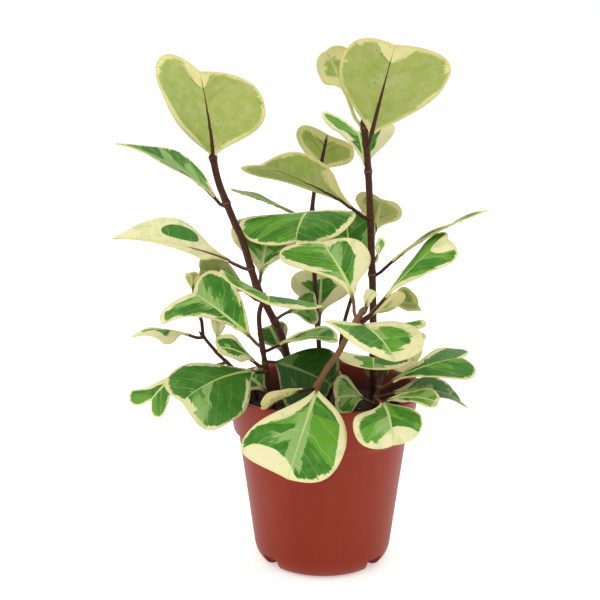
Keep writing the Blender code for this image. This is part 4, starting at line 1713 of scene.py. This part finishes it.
ROOT_END = 64.0
STEMS = (
    ("left", 2.3, 2.0, (
        (-15.5, 11.5, ROOT_END), (-15.5, 11.5, 90), (-17.5, 10, 99), (-24, 8, 131), (-33, 5, 151),
        (-40, 3, 167), (-47, 0, 192), (-52, -2, 204), (-60, -4, 226), (-63, -6, 241))),
    ("left_short", 1.9, 1.3, (
        (-28, -8.5, ROOT_END), (-28.3, -8.7, 90), (-29.5, -9.2, 98), (-34, -10, 122), (-37, -12, 148),
        (-34, -12, 161))),
    ("right", 2.3, 1.9, (
        (31.5, 6, ROOT_END), (31.3, 6, 90), (30, 5, 114), (29.5, 3.5, 150), (28, 2, 187),
        (26.5, 0, 215), (25, 0, 238), (22.5, 0, 260))),
    ("back", 1.7, 1.2, (
        (-0.5, 27, ROOT_END), (-0.6, 27.2, 90), (-1.5, 28.5, 108), (-5, 31, 160), (-7, 34, 203),
        (-4, 35, 229))),
    ("front", 2.0, 1.6, (
        (-9.5, -37, ROOT_END), (-9.3, -37.4, 90), (-8.6, -39, 98), (-5, -41.5, 112), (2, -42, 126),
        (8, -40, 134), (14, -38, 145), (19.5, -36, 154), (22, -35, 158)), 3.0, 0.8),
    ("far_left", 1.5, 1.0, (
        (-40, 20, ROOT_END), (-40.3, 20, 90), (-45, 20, 100), (-59, 20, 113.5), (-66, 22, 120),
        (-75, 25, 130))),
    ("front_right", 1.7, 1.1, (
        (25, -34, ROOT_END), (25.2, -34.2, 90), (27, -35, 99), (30, -36, 109), (33, -36, 121))),
    ("middle", 1.6, 1.0, (
        (2, 4.3, ROOT_END), (2.3, 4.5, 90), (4, 5.5, 99), (9, 8, 114), (12, 10, 138), (19, 10, 164))),
    ("back_right", 1.6, 1.1, (
        (30.5, 27, ROOT_END), (30.6, 27.2, 90), (31, 28.5, 104), (31.5, 30, 140), (30, 34, 190))),
)

# name, stem, height of the node, tip of the midrib, direction of the upper face, width, form, look
LEAVES = (
    ("left_1", "left", 240, (-67, -24, 287), (0.45, 0.78, 0.42), 70,
     LeafShape(petiole=1.5, arch=2, lean=0.12, notch=(0.13, 0.18), corner=(0.34, 0.38),
               wedge=(0.16, 0.06), shoulder=(0.3, 0.5)),
     LeafLook(brown=44, patches=(Patch(Tone.CREAM, 0.95, 0.05, 0.2, 0.12, 9),
                                 Patch(Tone.CREAM, 0.55, 0.95, 0.3, 0.2, 3)))),
    ("left_2", "left", 214, (-115, -8, 248), (0.3, -0.11, 1), 39,
     LeafShape(petiole=6, arch=5, lift=0.75, fold=(8, 12), notch=(0.08, -0.35), widest=(0.68, 0.42),
               corner=(0.28, 0.2), wedge=0.12, shoulder=(0.5, 0.25)),
     LeafLook(margin=0.0, grey=5)),
    ("left_3", "left", 175.5, (-129, 26, 189.5), (0.1, -0.17, 0.98), 28,
     LeafShape(petiole=11, arch=5, bias=0.44, fold=(-25, 25), notch=(-0.8, -0.15),
               widest=(0.2, 0.6), corner=(-0.05, 0.28), wedge=(0.15, 0.3), shoulder=(0.03, 0.3)),
     LeafLook(margin=4.5, brown=60, patches=(Patch(Tone.DARK, 0.56, 0.6, 0.18, 0.3, 34),
                                             Patch(Tone.CREAM, 0.5, 0.5, 0.7, 0.7, 14),
                                             Patch(Tone.CREAM, 0.35, -0.35, 0.5, 0.65, 12)))),
    ("left_4", "left", 165, (-32, 20, 199), (0.05, -0.9, 0.4), 40,
     LeafShape(petiole=5, bias=-0.1, fold=12),
     LeafLook(margin=0.9, patches=(Patch(Tone.CREAM, 0.5, -1.0, 0.5, 0.2, 2.5),))),
    ("left_5", "left", 156, (-75, 24, 171), (0.1, 0.85, 0.5), 28,
     LeafShape(petiole=8), LeafLook(margin=0.3, shade=0.5)),
    ("left_6", "left", 143, (-4, 21, 147), (-0.1, -0.9, 0.4), 21,
     LeafShape(petiole=8), LeafLook(margin=0.7, dark=0.2, shade=0.4)),
    ("left_7", "left", 117, (-33, 24, 136), (0, -0.9, 0.4), 19,
     LeafShape(petiole=6), LeafLook(margin=0.7, dark=0.2, shade=0.4)),
    ("left_short_1", "left_short", 160.8, (-29, -56, 165.5), (0.34, -0.1, 0.94), 60,
     LeafShape(petiole=4, notch=0.05, fold=10), LeafLook(margin=1.2)),
    ("left_short_2", "left_short", 131.5, (-77.5, 8, 159.5), (0.1, -0.75, 0.62), 45,
     LeafShape(petiole=8, bias=-0.14, notch=(0.25, 0.12), fold=(-12, 15), widest=(1.07, 0.85),
               corner=0.22, wedge=(0.85, 0.12), shoulder=(0.02, 0.4)),
     LeafLook(margin=0.8, dark=0.05, patches=(Patch(Tone.GREY, 0.75, -0.35, 0.35, 0.5, 6),
                                              Patch(Tone.CREAM, 1.0, -0.9, 0.15, 0.3, 3)))),
    ("left_short_3", "left_short", 129, (8, -10, 136), (-0.05, -0.06, 1), 28,
     LeafShape(petiole=8, wave=1.2), LeafLook(margin=1.2)),
    # Dark panels and shade paint the shade that this leaf lies in
    ("left_short_4", "left_short", 122, (5, -26, 113), (0, -0.8, 0.6), 45,
     LeafShape(petiole=5, bias=0.12, fold=-8, wedge=0.15), LeafLook(margin=0.2, dark=0.6, shade=0.75)),
    ("left_short_5", "left_short", 120, (-60, -26, 134.5), (-0.1, -0.5, 0.85), 22,
     LeafShape(petiole=6), LeafLook(margin=3.5, patches=(Patch(Tone.DARK, 0.5, 0.2, 0.4, 0.4, 9),))),
    ("left_short_6", "left_short", 117, (-78, -46, 108), (-0.25, -0.6, 0.78), 50.5,
     LeafShape(petiole=6, arch=7, bias=-0.19, fold=(-8, 8), notch=(0.06, 0.04), widest=(0.78, 0.82),
               wedge=(0.25, 0.32), shoulder=(0.46, 0.28), corner=(0.36, 0.24)),
     LeafLook(margin=0.8, dark=0.35, shade=0.12,
              patches=(Patch(Tone.GREY, 0.9, -0.5, 0.22, 0.4, 6),))),
    ("left_short_7", "left_short", 101, (-45, 8, 108.5), (0, -0.9, 0.4), 20,
     LeafShape(petiole=4), LeafLook(margin=0.8, dark=0.3, shade=0.3)),
    ("right_1", "right", 256.5, (1, 12, 299.5), (0.3, 0.9, 0.3), 25,
     LeafShape(petiole=21, widest=0.6, wedge=(0.3, 0.42)), LeafLook(margin=5.0, brown=-25)),
    ("right_2", "right", 248, (38, -22, 301), (0.1, 0.88, 0.4), 60.5,
     LeafShape(petiole=5, arch=2, bias=-0.125, notch=(0.06, 0.03), widest=(0.8, 0.64),
               corner=(0.2, 0.36), wedge=(0.15, 0.15), shoulder=(0.38, 0.28)),
     LeafLook(margin=1.4, brown=45, patches=(Patch(Tone.CREAM, 0.97, 0.0, 0.18, 0.18, 10),))),
    ("right_3", "right", 232, (20, 20, 254), (0, -0.85, 0.5), 40,
     LeafShape(petiole=4, bias=0.05, fold=(14, 10), notch=(1.0, 0.2), widest=(1.7, 0.8),
               corner=(0.55, 0.4), wedge=(0.6, 0.3), shoulder=(0.6, 0.4)),
     LeafLook(margin=1.8, dark=0.1, patches=(Patch(Tone.CREAM, 0.8, 0.9, 0.4, 0.4, 6),))),
    ("right_4", "right", 205.5, (-35, -22, 237), (0.1, 0.45, 0.9), 46,
     LeafShape(petiole=11, fold=9, arch=3, notch=(-0.06, 0.14), widest=(0.64, 0.85)),
     LeafLook(margin=1.4, brown=52, shade=0.12,
              patches=(Patch(Tone.CREAM, 0.35, -0.75, 0.3, 0.4, 5),))),
    ("right_5", "right", 172, (87, -18, 210), (-0.45, 0.17, 0.88), 44,
     LeafShape(petiole=12, fold=2, notch=0.16), LeafLook(brown=9)),
    ("right_6", "right", 121, (28, -40, 126), (0.05, -0.42, 1), 42,
     LeafShape(petiole=5),
     LeafLook(margin=0.8, patches=(Patch(Tone.CREAM, 0.7, 0.6, 0.3, 0.4, 8),))),
    ("back_1", "back", 227, (2, 31, 252), (0.1, 0.9, 0.4), 37,
     LeafShape(petiole=3, lift=0.1, lean=0.14, wedge=0.2, corner=0.36, notch=0.0),
     LeafLook(margin=2.4, brown=22)),
    ("back_2", "back", 206, (-16, -6, 192), (-0.2, -0.35, 1), 71,
     LeafShape(petiole=8, arch=5, notch=0.18), LeafLook(margin=1.2)),
    ("back_3", "back", 199.5, (-54, 22, 219), (0.35, 0.06, 1), 30,
     LeafShape(arch=1, fold=4), LeafLook(margin=0.0, shade=0.3)),
    ("back_4", "back", 135, (-1, 40, 167), (0, -0.95, 0.3), 38, LeafShape(petiole=6),
     LeafLook(margin=7.0, patches=(Patch(Tone.DARK, 0.55, 0.1, 0.25, 0.25, 14),))),
    ("front_1", "front", 153.5, (-1, -20, 194), (-0.1, -0.8, 0.6), 44,
     LeafShape(petiole=10, lift=0.65, lean=-0.18, bias=-0.16, arch=5, widest=(0.85, 0.68),
               wedge=(0.6, 0.32)),
     LeafLook(margin=1.4, dark=0.15, patches=(Patch(Tone.CREAM, 0.7, 0.85, 0.5, 0.35, 6),))),
    ("front_2", "front", 153.5, (66.5, -42, 199), (-0.58, -0.16, 0.8), 48,
     LeafShape(petiole=18, fold=-7, notch=0.06, lift=0.1, widest=0.9, corner=0.14,
               wedge=(0.3, 0.42), shoulder=0.4),
     LeafLook(margin=0.8, patches=(Patch(Tone.CREAM, 0.95, 0.05, 0.2, 0.3, 14),))),
    ("front_3", "front", 152, (38, -70, 138), (0.36, -0.21, 0.88), 56,
     LeafShape(petiole=3, bias=0.32, fold=(44, 8), notch=(0.06, 0.02), widest=(0.75, 0.45),
               corner=(0.3, 0.24), wedge=(0.2, 0.12), shoulder=(0.35, 0.28)),
     LeafLook(margin=4.0, grey=2, patches=(Patch(Tone.GREEN, 0.55, -0.45, 0.2, 0.22, 12),
                                           Patch(Tone.GREEN, 0.3, 0.3, 0.2, 0.3, 8)))),
    ("front_4", "front", 157.5, (29, -31, 168), (-0.6, -0.6, 0.5), 9,
     LeafShape(petiole=3, widest=0.6, notch=-0.05), LeafLook(margin=9.0)),
    ("front_5", "front", 151.5, (42, -14, 156), (-0.1, 0.6, 0.75), 30,
     LeafShape(), LeafLook(margin=7.0)),
    ("front_6", "front", 117, (-18, -84, 78), (-0.05, -0.95, 0.3), 53,
     LeafShape(petiole=3, arch=9, bias=0.08, notch=(-0.02, -0.06), widest=(0.6, 0.82),
               corner=(0.36, 0.14), wedge=(0.12, 0.32), shoulder=(0.32, 0.25)),
     LeafLook(margin=1.1, patches=(Patch(Tone.GREY, 0.5, 0.0, 0.5, 0.16, 9),
                                   Patch(Tone.CREAM, 0.2, 0.9, 0.35, 0.6, 5),
                                   Patch(Tone.CREAM, 0.97, 0.35, 0.18, 0.35, 12),
                                   Patch(Tone.CREAM, 0.85, -1.0, 0.2, 0.25, 5)))),
    ("front_7", "front", 115, (-33, -56, 109), (-0.1, 0.7, 0.7), 14,
     LeafShape(petiole=6, arch=0.5, bias=-0.1), LeafLook(margin=4.0)),
    ("far_left_1", "far_left", 129.5, (-114, 6, 132.5), (0, -0.2, 1), 30,
     LeafShape(fold=(-12, -19), arch=6, notch=(-0.45, 0.05), widest=(0.55, 0.7), corner=(0.1, 0.28)),
     LeafLook(margin=6.0)),
    ("far_left_2", "far_left", 129, (-83, 35, 167), (0.2, 0.7, 0.6), 11,
     LeafShape(petiole=25, wedge=0.5), LeafLook()),
    ("far_left_3", "far_left", 119.5, (-64, 22, 145), (0.1, -0.8, 0.5), 9,
     LeafShape(petiole=5), LeafLook(grey=5)),
    ("far_left_4", "far_left", 114, (-105, 10, 92), (-0.2, -0.75, 0.6), 29,
     LeafShape(petiole=24, notch=(0.3, 0.65), widest=(0.95, 1.15), corner=0.22,
               wedge=(0.5, 0.85), shoulder=(0.25, 0.03)),
     LeafLook(margin=0.8)),
    ("front_right_1", "front_right", 115, (79, -25, 129), (-0.35, -0.2, 0.85), 48,
     LeafShape(petiole=6, bias=-0.05, notch=(0.3, 0.16), fold=-7, wedge=0.45, widest=(1.04, 0.85),
               corner=(0.24, 0.16)),
     LeafLook(margin=0.8, dark=0.08)),
    ("front_right_2", "front_right", 109.5, (80, -18, 101), (0.1, -0.2, 1), 30,
     LeafShape(petiole=8, arch=6), LeafLook(margin=0.2, dark=0.4, shade=0.3)),
    ("front_right_3", "front_right", 108.5, (37, -78, 95), (0.1, -0.8, 0.6), 38,
     LeafShape(petiole=10, arch=7, notch=0.06, lean=0.06, bias=0.1, wedge=(0.4, 0.48)),
     LeafLook(margin=1.0, patches=(Patch(Tone.CREAM, 0.95, -0.15, 0.22, 0.35, 12),
                                   Patch(Tone.DARK, 0.5, -0.6, 0.4, 0.3, 5)))),
    ("front_right_4", "front_right", 106, (63, -48, 109.5), (0, -0.3, 0.95), 16,
     LeafShape(petiole=5, arch=3.5, wave=1.4), LeafLook(margin=0.9)),
    ("front_right_5", "front_right", 105.5, (7, -38, 108), (0, -0.6, 0.8), 27,
     LeafShape(petiole=5), LeafLook(margin=0.5, grey=2, shade=0.4)),
    ("middle_1", "middle", 161, (13, 20, 206), (0.1, -0.9, 0.4), 33,
     LeafShape(petiole=8, wedge=0.15), LeafLook(margin=1.0, dark=0.2)),
    ("middle_2", "middle", 97.5, (8, 0, 115), (-0.7, -0.7, 0.2), 15,
     LeafShape(petiole=5), LeafLook(margin=0.9, shade=0.3)),
    ("back_right_1", "back_right", 187.5, (34, 15, 215), (0, 0.8, 0.6), 30,
     LeafShape(petiole=6, lean=0.2), LeafLook(margin=2.0)),
    ("back_right_2", "back_right", 172, (32, 18, 188), (0.8, -0.5, 0.3), 17,
     LeafShape(petiole=4, lift=0.1), LeafLook(margin=0.8)),
    ("back_right_3", "back_right", 146, (58, 22, 150), (0, 0.75, 0.7), 25,
     LeafShape(petiole=6), LeafLook(margin=0.9)),
    ("back_right_4", "back_right", 129.5, (58, 10, 138), (0, 0.05, 1), 24, LeafShape(), LeafLook()),
    ("back_right_5", "back_right", 123, (58, 8, 131), (0.2, -0.05, 1), 22, LeafShape(), LeafLook()),
    ("back_right_6", "back_right", 115, (57, 9, 118), (0.2, -0.8, 0.6), 25,
     LeafShape(), LeafLook(margin=9.0)),
    ("back_right_7", "back_right", 96, (33, 14, 118), (0.1, -0.9, 0.4), 15,
     LeafShape(petiole=4), LeafLook(shade=0.3)),
)


def clear_scene() -> None:
    """Remove what the new file holds."""
    for thing in list(bpy.data.objects):
        bpy.data.objects.remove(thing, do_unlink=True)


def main() -> None:
    """Build the plant and the studio."""
    logging.basicConfig(level=logging.INFO, format="%(name)s: %(message)s")
    clear_scene()
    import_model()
    pot = Pot()
    LOG.info("%s", pot.build(PLASTIC.build()).name)
    for piece in Soil(pot).build(PEAT.build()):
        LOG.info("%s", piece.name)
    stems = {row[0]: Stem(*row) for row in STEMS}
    leaves = [Leaf(name, stems[stem], node, tip, face, width, shape, look, number)
              for number, (name, stem, node, tip, face, width, shape, look) in enumerate(LEAVES)]
    bark = BARK.build()
    for stem in stems.values():
        LOG.info("%s", stem.build(bark).name)
    skins = UPPER.build(), UNDER.build(), EDGE.build()
    for leaf in leaves:
        LOG.info("%s", leaf.build(*skins).name)
    Studio().build()


if __name__ == "__main__":
    main()
